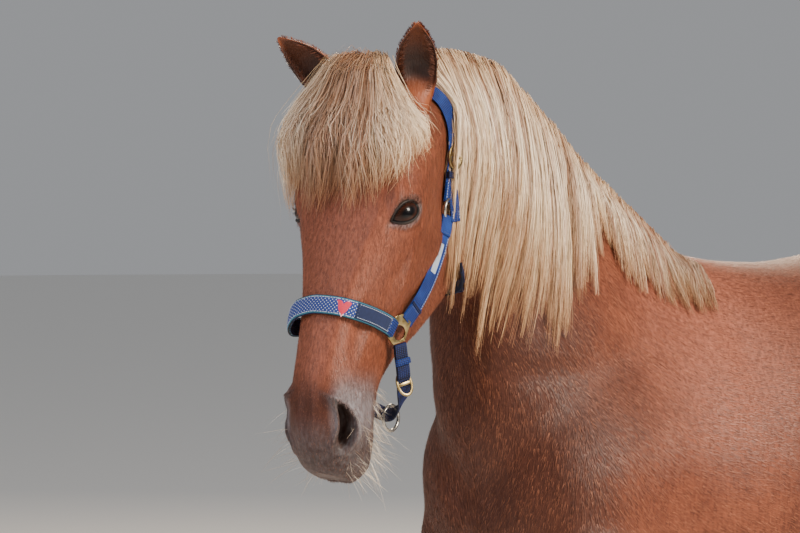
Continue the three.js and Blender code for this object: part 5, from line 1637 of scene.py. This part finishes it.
chance = np.random.default_rng(23)
count, locks = TAIL["hairs"], TAIL["locks"]
lock_angle = chance.uniform(0, 2 * np.pi, locks)
lock_end = chance.uniform(0.8, 1.0, locks)
lock_tone = chance.uniform(0, 1, locks)
of = chance.integers(0, locks, count)
start = TAIL["rooted"] * chance.random(count) ** 1.6 + TAIL["from"]
angle = lock_angle[of] + chance.normal(0, 0.3, count)
gather = TAIL_SHARES[None] * chance.uniform(0.3, 0.8, (count, 1))
angle = angle[:, None] * (1 - gather) + lock_angle[of][:, None] * gather
angle = angle + 0.2 * np.sin(TAIL_SHARES * 5 + of[:, None])
end = TAIL_HAIR[-1][0] * lock_end[of] * chance.uniform(0.6, 1, count) ** 0.4
at = start[:, None] + (end - start)[:, None] * TAIL_SHARES
level = 0.45 + 0.57 * chance.uniform(0, 1, count) ** 0.7
level = 0.3 + (level[:, None] - 0.3) * near(TAIL_SHARES, -0.02, 0.07)
controls, out = round_tail(at, angle, level)
controls += chance.normal(0, 2.5, controls.shape) * TAIL_SHARES[None, :, None]
paths = splined(controls, TAIL["steps"])
width = TAIL["width"] * chance.uniform(0.6, 1.2, count)
across = ribbon_sides(paths, splined(out, TAIL["steps"]), width, chance)
tone = np.clip(0.15 + 0.6 * lock_tone[of] + 0.3 * chance.random(count), 0, 1)
warm = np.clip(near(start, 200, 0) * 0.5 + chance.normal(0.1, 0.15, count), 0, 1)
strands("tail_hair", paths, across, uv_of(controls[:, 1]), mane_hair, tone=tone, warm=warm)


# Feather: a little longer hair behind each fetlock, in the coat's own colour but darker.
# It grows from the back of the joint and hangs over the heel.
FEATHER = {"hairs": 620, "from": 205, "to": 120, "long": 58, "width": 1.5}
for index, (name, rows) in enumerate(LEG_ROWS.items()):
    chance = np.random.default_rng(40 + index)
    count = FEATHER["hairs"]
    side = 1 if name.endswith("left") else -1
    level = chance.uniform(FEATHER["to"], FEATHER["from"], count)
    behind = np.pi + chance.normal(0, 0.75, count)
    x, y, long, wide = sizes(rows)(-level).T
    x = x + STRIDES[name] * np.maximum(0, 1 - level / -rows[0][0])
    out = np.stack([np.cos(behind), side * np.sin(behind), 0 * level], -1)
    t = np.linspace(0, 1, 5)[None]
    away = 0.9 + t * (0.34 * chance.uniform(0.5, 1.2, (count, 1))) - 0.16 * t**2
    length = FEATHER["long"] * chance.uniform(0.5, 1, (count, 1))
    length = length * near(np.abs(behind - np.pi), 2.2, 0.6)[:, None]
    px = x[:, None] + out[:, :1] * long[:, None] * away
    py = side * y[:, None] + out[:, 1:2] * wide[:, None] * away
    paths = np.stack([px, py, level[:, None] - length * t], -1)
    paths = paths + chance.normal(0, 1, (count, 5, 3)) * t[..., None]
    width = FEATHER["width"] * chance.uniform(0.6, 1, count)
    across = ribbon_sides(paths, np.repeat(out[:, None], 5, 1), width, chance)
    strands("feather_" + name, paths, across, uv_of(paths[:, 0]), tuft_hair, "coat",
            tone=chance.random(count), **only_dark(np.full(count, 0.5)))


# Whiskers and lashes: single stiff hairs that grow out of the bare skin, pale ones on lips, chin and jaw
# and dark ones on the upper lids. They are too thin to be part of the coat's tufts.
WHISKERS = {"lips": 230, "chin": 400, "width": 0.55}
# Pale and wiry, with a thin bright gloss along each hair
whisker, tree, shader = material("stiff_pale_whisker")
surface(tree, shader, mix(tree, attribute(tree, "tone"), "#E4D9C6", "#8E7358"), 0.35)
chance = np.random.default_rng(77)
roots, ways, long = [], [], []
for kind in ("lips", "chin"):
    for i in range(WHISKERS[kind]):
        on_chin = kind == "chin"
        x = chance.uniform(405, 535) if on_chin else chance.uniform(455, 545)
        angle = chance.uniform(-58, 58) + 180 if on_chin else chance.choice([-1, 1]) * chance.uniform(60, 140)
        angle = math.radians(angle)
        roots.append(cast_on_head(x, angle, 300)[0])
        lean = np.array([0.75 if on_chin else 0.5, math.sin(angle), math.cos(angle)])
        ways.append(unit(lean + chance.normal(0, 0.25, 3)) @ head_axes)
        long.append(chance.uniform(12, 40) if on_chin else chance.uniform(10, 58))
roots, ways, long = np.array(roots), np.array(ways), np.array(long)
count = len(roots)
t = np.linspace(0, 1, 7)[None, :, None]
droop = np.array([0, 0, -0.32]) * chance.uniform(0, 1.2, (count, 1, 1))
curl = chance.normal(0, 0.12, (count, 1, 3))
paths = roots[:, None] + long[:, None, None] * (ways[:, None] * t + droop * t**2 + curl * t**2)
out = np.broadcast_to(ways[:, None] + (0, 0.3, 0), paths.shape)
across = ribbon_sides(paths, out, WHISKERS["width"] * chance.uniform(0.5, 1, count), chance)
strands("whiskers", paths, across, uv_of(roots), whisker, "coat", tone=chance.random(count))

# Nearly black and slightly glossy, a dark fringe against the wet eye
lash, tree, shader = material("dark_eyelash")
surface(tree, shader, mix(tree, attribute(tree, "tone"), "#140C0A", "#4A2A1A"), 0.4)
LASHES = 80
for side_name, sign in SIDES.items():
    along = chance.uniform(-0.95, 0.75, LASHES)
    roots = EYE + lid_ways(along, lid_height(along) * OPENING["over"]) * (EYE_RADIUS + 1.6)
    lean = 0.8 * EYE_FACING - 0.35 * EYE_TALL - 0.3 * EYE_LONG + chance.normal(0, 0.12, (LASHES, 3))
    t = np.linspace(0, 1, 6)[None, :, None]
    long = chance.uniform(6, 12, (LASHES, 1, 1))
    paths = roots[:, None] + long * (lean[:, None] * t + EYE_TALL * 0.25 * t**2)
    paths = head_ahead(side_places(paths, sign))
    out = np.broadcast_to(side_places(EYE_TALL, sign) @ head_axes, paths.shape)
    across = ribbon_sides(paths, out, np.full(LASHES, 0.5), chance, 0.3)
    strands("lashes_" + side_name, paths, across, uv_of(paths[:, 0]), lash, "coat",
            tone=chance.random(LASHES))


# The hooves: solid horn, dark grey-brown, grown out of the skin at the coronet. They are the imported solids
# themselves, with growth rings across the wall and fine tubes down it.
WAVE_SCALE = 314.16  # of a wave texture with one band to each millimetre


def bands(tree, vector, period_mm, direction):
    """Even ribs across one axis of a vector in metres."""
    made = node(tree, "ShaderNodeTexWave", {0: vector}, wave_type="BANDS", bands_direction=direction)
    made.inputs["Scale"].default_value = WAVE_SCALE / period_mm
    return made


# Dull grey-brown, streaked down the wall and paler along its rings
horn, tree, shader = material("hoof_horn")
rings = bands(tree, node(tree, "ShaderNodeTexCoord").outputs["Object"], 9, "Z")
rings.inputs["Distortion"].default_value = 1.5
rings.inputs["Detail Scale"].default_value = 2
rings = rings.outputs["Fac"]
tubes = noise(tree, 3, stretch=(1, 1, 14))
colour = mix(tree, ranged(tree, rings, 0, 1, 0, 0.4), mix(tree, tubes, "#2E2723", "#5E5145"), "#7A6A58")
surface(tree, shader, colour, 0.42, (maths(tree, "ADD", rings, tubes), 0.5, 0.001))
for name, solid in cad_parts.items():
    if "hoof" in name:
        solid.data.materials.clear()
        solid.data.materials.append(horn)


# The headcollar: nylon webbing, ribbed across, sewn in doubled ends round the metal fittings.
# Each strap is laid over the skin along its own line, which its stitches and trimmings follow too.
STRAP = {"width": 25, "thick": 2.4, "lift": 2.4}
# Share across and share of the thickness, once round a strap with softened edges
STRAP_SECTION = np.array([
    (-1, 0.5), (-0.96, 0.9), (-0.88, 1), (-0.5, 1), (-0.15, 1), (0.15, 1), (0.5, 1), (0.88, 1), (0.96, 0.9),
    (1, 0.5), (0.96, 0.1), (0.88, 0), (0, 0), (-0.88, 0), (-0.96, 0.1),
])
FOLD = (2.1, 4.6)  # heights of an end that is folded back and sewn on its own strap


def seat(x, degrees, lift=0.0, forward=0.0):
    """A place on the head by its distance down the nose and angle to the left, and the way out there."""
    hit, away, facing = cast_on_head(x, math.radians(degrees))
    return hit + away * lift, unit(unit(away + facing) + forward * head_axes[2])


def beside(x, y, z, under=1.0):
    """A free place beside the head, in the head's own axes, and the way out there."""
    return head_ahead((x, y, z)), unit([0, y, (z + 100) * under]) @ head_axes


def strap_line(path, width=STRAP["width"]):
    """A strap's line: places by millimetres along it, share across it and height over its under face."""
    at, out = (np.array(values) for values in zip(*path))
    length = np.concatenate([[0], np.cumsum(np.linalg.norm(np.diff(at, axis=0), axis=1))])
    line, facing = through(length, at), through(length, out)

    def frame_at(where):
        along = unit(line(where + 1) - line(where - 1))
        up = square_to(facing(where), along)
        return line(where), up, np.cross(up, along)

    steps = np.linspace(1, length[-1] - 1, max(6, int(length[-1] / 5)))
    middle, up, side = frame_at(steps)
    lifts = []
    for place, o, across in zip(middle, up, side):
        edges = []
        for sign in (-1, 1):
            edge = place + across * sign * width / 2
            hit = bed_tree.ray_cast(Vector(edge + o * 40), Vector(-o), 80)[0]
            edges.append(max(0, (np.array(hit) - edge) @ o + STRAP["lift"]) if hit else 0)
        lifts.append(edges)
    edge_lift = through(steps, lifts)

    def place(where, across, height):
        where, across, height = np.broadcast_arrays(np.asarray(where, float), across, height)
        flat = np.clip(where.ravel(), 1.01, length[-1] - 1.01)
        middle, up, side = frame_at(flat)
        share = (across.ravel()[:, None] + 1) / 2
        lift = (edge_lift(flat) * np.concatenate([1 - share, share], 1)).sum(1) + height.ravel()
        along = np.cross(side, up)
        made = middle + side * across.ravel()[:, None] * width / 2 + up * lift[:, None]
        made = made + along * (where.ravel() - flat)[:, None]
        return made.reshape(*where.shape, 3)

    return place, length[-1]


def band(name, line, ends, heights, finish, width=STRAP["width"], across=(-1, 1), crown=0.0, solid=None):
    """A piece of webbing between two places along a strap's line and two heights over it.

    "solid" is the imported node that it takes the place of."""
    (start, end), (low, high) = ends, heights
    count = max(3, int((end - start) / 4) + 1)
    where = np.concatenate([[start], np.linspace(start + 0.8, end - 0.8, count), [end]])[:, None]
    thin = np.ones_like(where)
    thin[[0, -1]] = 0.55
    share, up = STRAP_SECTION.T[:, None]
    height = low + (high - low) * (0.5 + (up - 0.5) * thin) * (1 + crown * (1 - share**2) * up)
    share = across[0] + (across[1] - across[0]) * (share * (1 - 0.03 * (thin < 1)) + 1) / 2
    weave = np.stack([where + 0 * share, share * width / 2 + 0 * where, height + 0 * share], -1) * 0.001
    bm = bmesh.new()
    wrap(bm, in_frame(turned(line(where, share, height))), weave)
    slot = "webbing_dark" if finish in (navy, velvet) else "webbing"
    return placed(piece(bm, name), finish, slot, *([solid] if solid else []))


def stitches(name, line, rows, height, width=STRAP["width"], pitch=4.2, long=2.9, thick=0.45):
    """Rows of stitches: each row has a start, an end, and its shares across at both."""
    bm = bmesh.new()
    angle = circle(6)[None]
    for start, end, first, last in rows:
        reach = math.hypot(end - start, (last - first) * width / 2)
        for t in np.arange(0, reach, pitch):
            share = (np.array([0, 0.15, 0.85, 1])[:, None] * long + t) / reach
            thin = np.array([0.4, 1, 1, 0.4])[:, None] * thick
            where = start + (end - start) * share + 0 * angle
            across = first + (last - first) * share + thin * np.cos(angle) / (width / 2)
            sunk = np.array([-0.5, 0, 0, -0.5])[:, None] * thick
            wrap(bm, in_frame(turned(line(where, across, height + sunk + thin * np.sin(angle)))))
    return placed(piece(bm, name), thread, "webbing")


def twin_rows(*runs):
    """Rows of stitches along both edges of a strap, for each run from one place to another."""
    return [(start, end, share, share) for start, end in runs for share in (-0.8, 0.8)]


def seated(bm, spot, along):
    """Sets a shape built round its own z axis on a spot, facing out, with its x axis along a way."""
    at, out = spot
    x = square_to(along, out)
    axes = np.array([x, np.cross(out, x), out])
    own = np.array([vert.co for vert in bm.verts])
    for vert, place in zip(bm.verts, in_frame(turned(at + own @ axes))):
        vert.co = place


def thickened(bm, thick):
    """Gives flat faces their thickness, up from z = 0."""
    bmesh.ops.solidify(bm, geom=bm.faces[:], thickness=thick)
    low = min(vert.co.z for vert in bm.verts)
    bmesh.ops.translate(bm, verts=bm.verts, vec=(0, 0, -low))


def rounded(bm, offset, segments=2, clamp=True):
    """Bevels the sharp edges."""
    sharp = [edge for edge in bm.edges if len(edge.link_faces) == 2 and edge.calc_face_angle() > 1.2]
    bmesh.ops.bevel(bm, geom=sharp, offset=offset, offset_type="OFFSET", affect="EDGES", segments=segments,
                    profile=0.5, material=-1, clamp_overlap=clamp)


def webbing_material(name, dark, base, light):
    """Woven nylon: cords along it and picks across, drawn at twice their real size so that they show."""
    made, tree, shader = material(name)
    weave = attribute(tree, "weave", "Vector")
    picks, cords = (bands(tree, weave, *rib).outputs["Fac"] for rib in ((2.6, "X"), (3.4, "Y")))
    height = maths(tree, "MULTIPLY", picks, cords)
    # painted shade in the gaps of the weave and a painted highlight on the tops of its ribs; larger patches
    # are lighter at random
    colour = mix(tree, ranged(tree, height, 0.05, 0.45), dark, base)
    colour = mix(tree, ranged(tree, height, 0.5, 1, 0, 0.6), colour, light)
    colour = mix(tree, ranged(tree, noise(tree, 30), 0.45, 0.75, 0, 0.3), colour, light)
    surface(tree, shader, colour, 0.62, (height, 0.8, 0.0008), {"Specular IOR Level": 0.3})
    return made


# Strong blue with a ribbed weave, painted shade in its gaps and a painted highlight on its ribs,
# and nearly black navy of the same weave
blue = webbing_material("blue_nylon_webbing", "#07153F", "#10307F", "#2C5CBA")
navy = webbing_material("navy_nylon_webbing", "#04081A", "#0A1746", "#1B3684")


def metal_material(name, base, worn, rough):
    """Plated metal, polished, with fine scratches and duller patches from handling."""
    made, tree, shader = material(name)
    scratches = noise(tree, 2, stretch=(1, 1, 8), turn=(0.6, 0.3, 0))
    colour = mix(tree, ranged(tree, noise(tree, 7), 0.4, 0.7), base, worn)
    rough = ranged(tree, scratches, 0.3, 0.7, rough - 0.06, rough + 0.1)
    surface(tree, shader, colour, rough, (scratches, 0.15, 0.0003), {"Metallic": 1})
    return made


# Cool silver that mirrors the studio, and a duller, faintly golden plate
nickel = metal_material("nickel_plated_steel", "#B4B0A8", "#8C867A", 0.24)
brass = metal_material("pale_gold_plated_zinc", "#A8956B", "#857248", 0.3)

# Off-white with a blue tinge and a slight gloss
thread, tree, shader = material("white_polyester_thread")
surface(tree, shader, mix(tree, noise(tree, 1.5), "#D9DDE4", "#9FB0CC"), 0.6)

# Matt mid-blue with rows of white dots and a teal edge; its twill is coarser than real, so that it shows
denim, tree, shader = material("dotted_blue_denim")
weave = attribute(tree, "weave", "Vector")
askew = node(tree, "ShaderNodeMapping", {0: weave}, vector_type="POINT")
askew.inputs["Rotation"].default_value = (0, 0, math.radians(45))
RIBS = ((3.9, "X"), (3.9, "Y"), (1.5, "X"))
dots_along, dots_up, twill = (bands(tree, askew.outputs[0], *rib).outputs["Fac"] for rib in RIBS)
dots = maths(tree, "MULTIPLY", dots_along, dots_up)
edge = maths(tree, "ABSOLUTE", node(tree, "ShaderNodeSeparateXYZ", {0: weave}).outputs[1])
colour = mix(tree, twill, "#0D2160", "#1B3E8C")
colour = mix(tree, ranged(tree, dots, 0.72, 0.82), colour, "#E4E8F0")
colour = mix(tree, ranged(tree, edge, 0.0112, 0.0116), colour, "#1F6478")
surface(tree, shader, colour, 0.75, (twill, 0.5, 0.0005), {"Sheen Weight": 0.1})

# Deep soft navy that lights up along its edges, as pile does
velvet, tree, shader = material("navy_velvet_patch")
surface(tree, shader, mix(tree, noise(tree, 5), "#0C1430", "#1A2850"), 0.9, more={
    "Sheen Weight": 0.3, "Sheen Tint": "#7C93C8"})


# The noseband: a padded, denim-covered band with piped edges, loose on the horse's right.
# A plain red heart is sewn on it, and a velvet patch before its folded end at the plate.
NOSEBAND = {"x": 321, "behind": 326, "loose": 38, "width": 27}
noseband_path = []
for angle in (-94, -78, -58, -38, -18, 0, 18, 38, 58, 78, 94):
    loose = NOSEBAND["loose"] * math.sin(angle / -100 * math.pi) ** 2 if angle < 0 else 0
    x = NOSEBAND["x"] + (NOSEBAND["behind"] - NOSEBAND["x"]) * (angle / 100) ** 2 + loose * 0.6
    noseband_path.append(seat(x, angle, STRAP["lift"] + loose * 0.4))
wide = NOSEBAND["width"]
noseband, end = strap_line(noseband_path, wide)
band("noseband_pad", noseband, (0, end), (0, 4.2), denim, wide, crown=0.3, solid="noseband")
band("noseband_lining", noseband, (2, end - 2), (-1.2, 0.2), navy, wide, (-0.92, 0.92))
for name, edges in (("upper", (0.9, 1.04)), ("lower", (-1.04, -0.9))):
    band("noseband_piping_" + name, noseband, (1, end - 1), (1.0, 3.4), navy, wide, edges)
PATCH_FROM_END = (83, 19)
patch_from, patch_to = (end - back for back in PATCH_FROM_END)
band("noseband_patch", noseband, (patch_from, patch_to), (3, 5.9), velvet, wide, (-0.86, 0.86), 0.12)
band("noseband_fold_left", noseband, (end - 17, end), (2, 6.4), blue, wide, (-0.9, 0.9))
band("noseband_fold_right", noseband, (0, 22), (2, 6.4), blue, wide, (-0.9, 0.9))
INSET = 3.0  # of the patch's seam from its edge
seam_from, seam_to = patch_from + INSET, patch_to - INSET
rows = [
    (seam_from, seam_to, 0.7, 0.7),
    (seam_from, seam_to, -0.7, -0.7),
    (seam_from, seam_from, -0.7, 0.7),
    (seam_to, seam_to, -0.7, 0.7),
]
stitches("patch_stitches", noseband, rows, 6.35, wide, pitch=3.4, long=2.4)
rows = [(6, patch_from - 2, share, share) for share in (0.8, -0.8)]
stitches("noseband_stitches", noseband, rows, 4.7, wide)

# Clear red with the lustre and ridges of embroidery
heart_red, tree, shader = material("red_embroidered_felt")
threads = noise(tree, 1.6, stretch=(1, 4, 1))
surface(tree, shader, mix(tree, threads, "#B3122E", "#DC3A55"), 0.7, (threads, 0.5, 0.0006))
# Pale pink and a little glossy, a fine light line round the red
heart_edge, tree, shader = material("pale_pink_satin_stitch")
surface(tree, shader, mix(tree, noise(tree, 1), "#F3C9CE", "#E08A98"), 0.5)
HEART = {"from_end": 100, "size": 0.8, "points": 48, "border": 0.12}
turn = circle(HEART["points"])
outline = HEART["size"] * np.array([
    16 * np.sin(turn) ** 3,
    13 * np.cos(turn) - 5 * np.cos(2 * turn) - 2 * np.cos(3 * turn) - np.cos(4 * turn),
])
# Rows: name; how much larger than the outline; heights of its edge and its middle; material
HEART_LAYERS = [
    ("heart_border", 1.14, 4.6, 6.5, heart_edge),
    ("heart", 0.95, 5, 7.3, heart_red),
]
for name, grow, low, high, finish in HEART_LAYERS:
    bm = bmesh.new()
    bmesh.ops.create_circle(bm, cap_ends=True, segments=HEART["points"], radius=1)
    bmesh.ops.inset_region(bm, faces=bm.faces[:], thickness=HEART["border"])
    bmesh.ops.inset_region(bm, faces=[max(bm.faces, key=lambda face: len(face.verts))], thickness=0.35)
    bmesh.ops.poke(bm, faces=[max(bm.faces, key=lambda face: len(face.verts))])
    for vert in bm.verts:
        reach, at = vert.co.xy.length, math.atan2(vert.co.x, vert.co.y) % (2 * math.pi)
        share = at / (2 * math.pi) * HEART["points"]
        i, w = int(share), share - int(share)
        one, other = outline[:, i % HEART["points"]], outline[:, (i + 1) % HEART["points"]]
        hx, hy = (one * (1 - w) + other * w) * reach * grow
        rise = low + (high - low) * min(1, (1 - reach) / HEART["border"])
        spot = noseband(end - HEART["from_end"] + hx, hy / (wide / 2), rise)
        vert.co = in_frame(turned(spot.reshape(3)))
    placed(piece(bm, name), finish, "webbing")


# The side plates: flat plates of cast and plated metal, six-cornered, with a round hole in the middle.
# The noseband, the cheekpiece and the chin strap are each sewn round one of their sides.
PLATE = {"x": 326, "angle": 110, "hole": 11, "thick": 3, "forward": 0.5}
# Millimetres down the nose and back from the middle of the hole
PLATE_CORNERS = np.array([(9.4, -23.8), (-21, -15), (-28, -3), (-21, 16), (8, 15), (20, -4)])
for side_name, sign in SIDES.items():
    plate = bmesh.new()
    outer = bmesh.ops.create_circle(plate, segments=96, radius=1)["verts"]
    inner = bmesh.ops.create_circle(plate, segments=96, radius=PLATE["hole"])["verts"]
    for vert in outer:
        way = np.array([vert.co.x, vert.co.y * sign])
        reach = 99
        for one, other in zip(PLATE_CORNERS, np.roll(PLATE_CORNERS, -1, axis=0)):
            facing = np.array([other[1] - one[1], one[0] - other[0]])
            facing *= np.sign(facing @ one)
            if facing @ way > 1e-6:
                reach = min(reach, facing @ one / (facing @ way))
        vert.co *= reach
    bmesh.ops.bridge_loops(plate, edges=plate.edges[:])
    thickened(plate, PLATE["thick"])
    rounded(plate, 0.7)
    spot = seat(PLATE["x"], sign * PLATE["angle"], STRAP["lift"] + 5, PLATE["forward"])
    seated(plate, spot, head_axes[0])
    placed(piece(plate, "plate_" + side_name), brass, "fitting", "side_plate_" + side_name)


def ring(radius, wire):
    """A round wire ring about the z axis."""
    bm = bmesh.new()
    bmesh.ops.create_circle(bm, segments=12, radius=wire)
    bmesh.ops.rotate(bm, verts=bm.verts, cent=(0, 0, 0), matrix=Matrix.Rotation(math.pi / 2, 3, "X"))
    bmesh.ops.translate(bm, verts=bm.verts, vec=(radius, 0, 0))
    bmesh.ops.spin(bm, geom=bm.verts[:] + bm.edges[:], cent=(0, 0, 0), axis=(0, 0, 1), angle=2 * math.pi,
                   steps=56, use_merge=True)
    return bm


# The cheekpieces run from the plates to round rings, and the crown strap from ring to ring over the poll,
# where the forelock covers it. On the left it is doubled back through an oval slide and hangs free.
CROWN_RING = {"x": 122, "angle": 119, "radius": 15, "wire": 2.6}
SLIDE = {"x": 44, "angle": 114, "long": 21, "wide": 17, "thick": 3}
# Dull light grey with a slight gloss
label, tree, shader = material("plain_grey_reflective_tape")
surface(tree, shader, mix(tree, noise(tree, 4), "#8E99A8", "#B4BECB"), 0.38)
ONE_LAYER = (0, STRAP["thick"])
cheek = [
    (PLATE["x"] - 18, PLATE["angle"]), (270, 113), (230, 115), (190, 117), (155, 119),
    (CROWN_RING["x"] + 10, 119),
]
for side_name, sign in SIDES.items():
    line, end = strap_line([seat(x, sign * angle, STRAP["lift"] + 3.5, 0.5) for x, angle in cheek])
    band("cheekpiece_webbing_" + side_name, line, (0, end), ONE_LAYER, blue, solid="cheekpiece_" + side_name)
    band("cheekpiece_fold_low_" + side_name, line, (0, 34), FOLD, blue, across=(-0.97, 0.97))
    band("cheekpiece_bar_" + side_name, line, (26, 31), (4.2, 5.6), navy, across=(-1.02, 1.02))
    band("cheekpiece_fold_high_" + side_name, line, (end - 30, end), FOLD, blue, across=(-0.97, 0.97))
    rows = [(34, end - 32, -0.8 * sign, -0.8 * sign)]
    rows += twin_rows((4, 22), (end - 27, end - 8))
    stitches("cheekpiece_stitches_" + side_name, line, rows, 2.7)
    rows = [(at, at, -0.8, 0.8) for at in (24, end - 27)]
    stitches("cheekpiece_fold_stitches_" + side_name, line, rows, 4.9)
    if sign == 1:
        band("cheekpiece_tape", line, (end - 92, end - 44), (2.2, 2.9), label, across=(-0.35, 0.6))
    wheel = ring(CROWN_RING["radius"], CROWN_RING["wire"])
    lift = STRAP["lift"] + CROWN_RING["wire"] + 1
    seated(wheel, seat(CROWN_RING["x"], sign * CROWN_RING["angle"], lift), head_axes[0])
    placed(piece(wheel, "cheek_ring_" + side_name), nickel, "fitting", "crown_ring_" + side_name)

half = [
    (CROWN_RING["x"] - 9, 119), (80, 117), (SLIDE["x"], SLIDE["angle"]), (12, 104), (-14, 88), (-30, 68),
    (-34, 46), (-30, 24),
]
left, right = (
    [seat(x, sign * angle, STRAP["lift"] + 0.5, 0.4 if angle > 80 else 0) for x, angle in half]
    for sign in SIDES.values()
)
line, end = strap_line([*left, seat(-26, 0, STRAP["lift"] + 0.5), *reversed(right)])
band("crown_webbing", line, (0, end), ONE_LAYER, blue, solid="crown_strap")
band("crown_fold_left", line, (0, 30), FOLD, blue, across=(-0.97, 0.97))
band("crown_keeper_left", line, (36, 46), (2.0, 7.6), navy, across=(-1.08, 1.08))
band("crown_fold_right", line, (end - 40, end), FOLD, blue, across=(-0.97, 0.97))
stitches("crown_stitches", line, twin_rows((6, 28), (end - 38, end - 8)), 4.9)

free = [(14, 103, 3.6), (SLIDE["x"], SLIDE["angle"], 3.6), (80, 118, 4.2), (110, 123, 9), (136, 127, 13)]
line, end = strap_line([seat(x, angle, STRAP["lift"] + 0.5 + up, 0.4) for x, angle, up in free], 23)
band("crown_loose_end", line, (0, end), ONE_LAYER, blue, 23, solid="crown_strap_end")
rows = [(end - 16, end - 4, -0.7, -0.7), (end - 16, end - 4, 0.7, 0.7), (end - 4, end - 4, -0.7, 0.7)]
stitches("loose_end_stitches", line, rows, 2.7, 23)


def oval_slide(long, wide, thick, rim):
    """An oval plate with two slots, either side of a bar that the strap is wound round."""
    bm = bmesh.new()
    outer = bmesh.ops.create_circle(bm, segments=56, radius=1)["verts"]
    inner = bmesh.ops.create_circle(bm, segments=56, radius=0.999)["verts"]
    for verts, less in ((outer, 0), (inner, rim)):
        for vert in verts:
            way = vert.co.normalized()
            vert.co = Vector((way.x * (long - less), way.y * (wide - less), 0))
    bmesh.ops.bridge_loops(bm, edges=bm.edges[:])
    thickened(bm, thick)
    bar = bmesh.ops.create_cube(bm, size=1)["verts"]
    bmesh.ops.scale(bm, verts=bar, vec=(5, 2 * (wide - rim) + 2, thick * 0.8))
    bmesh.ops.translate(bm, verts=bar, vec=(0, 0, thick * 0.5))
    rounded(bm, 0.6)
    return bm


slide = oval_slide(SLIDE["long"], SLIDE["wide"], SLIDE["thick"], 5)
seated(slide, seat(SLIDE["x"], SLIDE["angle"], STRAP["lift"] + 6.9, 0.4), head_axes[0])
placed(piece(slide, "oval_slide"), brass, "fitting", "crown_slide")


# The throat strap: narrow navy webbing that hangs under the jaw, sewn round the right ring and ending in a
# snap hook on the left one. The hook has a long link, a round swivel and a small knob to open it by.
HOOK = {"from": 141, "to": 186, "angle_from": 128, "angle_to": 137}
top, low = seat(HOOK["from"], HOOK["angle_from"], 7), seat(HOOK["to"], HOOK["angle_to"], 7)
along = low[0] - top[0]
length = np.linalg.norm(along)
turn_up = Matrix.Rotation(math.pi / 2, 3, "Y")
link = ring(9, 2.4)
bmesh.ops.scale(link, verts=link.verts, vec=(2.1, 1, 1))
bmesh.ops.translate(link, verts=link.verts, vec=(length * 0.6, 0, 0))
swivel = bmesh.ops.create_cone(link, cap_ends=True, segments=24, radius1=4.5, radius2=4.5, depth=length * 0.3)
swivel = swivel["verts"]
bmesh.ops.rotate(link, verts=swivel, cent=(0, 0, 0), matrix=turn_up)
bmesh.ops.translate(link, verts=swivel, vec=(length * 0.15, 0, 0))
rounded(link, 1, segments=3, clamp=False)
gate = bmesh.ops.create_uvsphere(link, u_segments=16, v_segments=10, radius=2.6)["verts"]
bmesh.ops.translate(link, verts=gate, vec=(length * 0.55, 8.4, 1.5))
seated(link, top, along)
placed(piece(link, "throat_snap"), nickel, "fitting", "snap_hook")

THROAT_WIDTH = 20
throat = [
    (194, 68, -226), (202, 61, -246), (208, 47, -266), (212, 24, -279), (213, 0, -283), (212, -24, -279),
    (208, -47, -266), (200, -62, -246), (184, -72, -222), (160, -80, -200), (140, -82, -184),
]
line, end = strap_line([beside(*place) for place in throat], THROAT_WIDTH)
band("throat_webbing", line, (0, end), ONE_LAYER, navy, THROAT_WIDTH, solid="throat_strap")
band("throat_fold_left", line, (0, 26), (2.1, 4.4), navy, THROAT_WIDTH, (-0.96, 0.96))
band("throat_fold_right", line, (end - 26, end), (2.1, 4.4), navy, THROAT_WIDTH, (-0.96, 0.96))


# The chin strap: navy webbing that hangs from both plates and meets under the chin in the ring for the lead
# rope. On the left its end passes a keeper, and an oval slide closes it.
CHIN_WIDTH = 22
LEAD_RING = {"x": 432, "z": -222, "radius": 19, "wire": 2.6}
half = ((PLATE["x"] + 14, 58, -128), (366, 58, -144), (396, 50, -170), (420, 26, -201))
turns = (-0.9, -0.8, -0.5, 0.1)  # it faces forward at the plates and down under the chin
left = [beside(*place, turn) for place, turn in zip(half, turns)]
right = [beside(x, -y, z, turn) for (x, y, z), turn in zip(half[::-1], turns[::-1])]
under_chin = beside(LEAD_RING["x"] - 3, 0, LEAD_RING["z"] + 10)
line, end = strap_line([*left, under_chin, *right], CHIN_WIDTH)
band("chin_webbing", line, (0, end), ONE_LAYER, navy, CHIN_WIDTH, solid="chin_strap")
band("chin_fold_left", line, (0, 52), FOLD, navy, CHIN_WIDTH, (-0.95, 0.95))
band("chin_fold_right", line, (end - 40, end), FOLD, navy, CHIN_WIDTH, (-0.95, 0.95))
band("chin_keeper", line, (22, 31), (2, 8.4), blue, CHIN_WIDTH, (-1.1, 1.1))
slide = oval_slide(19, 13, 2.6, 4)
before, at, behind = (line(where, 0.0, 3.0).reshape(3) for where in (58.0, 62.0, 66.0))
seated(slide, (at, left[1][1]), behind - before)
placed(piece(slide, "chin_slide"), brass, "fitting")
wheel = ring(LEAD_RING["radius"], LEAD_RING["wire"])
bmesh.ops.rotate(wheel, verts=wheel.verts, cent=(0, 0, 0), matrix=Matrix.Rotation(math.pi / 2, 3, "X"))
bmesh.ops.translate(wheel, verts=wheel.verts, vec=(LEAD_RING["x"], 0, LEAD_RING["z"]))
for vert in wheel.verts:
    vert.co = in_frame(turned(head_ahead(np.array(vert.co))))
placed(piece(wheel, "rope_ring"), nickel, "fitting", "lead_ring")
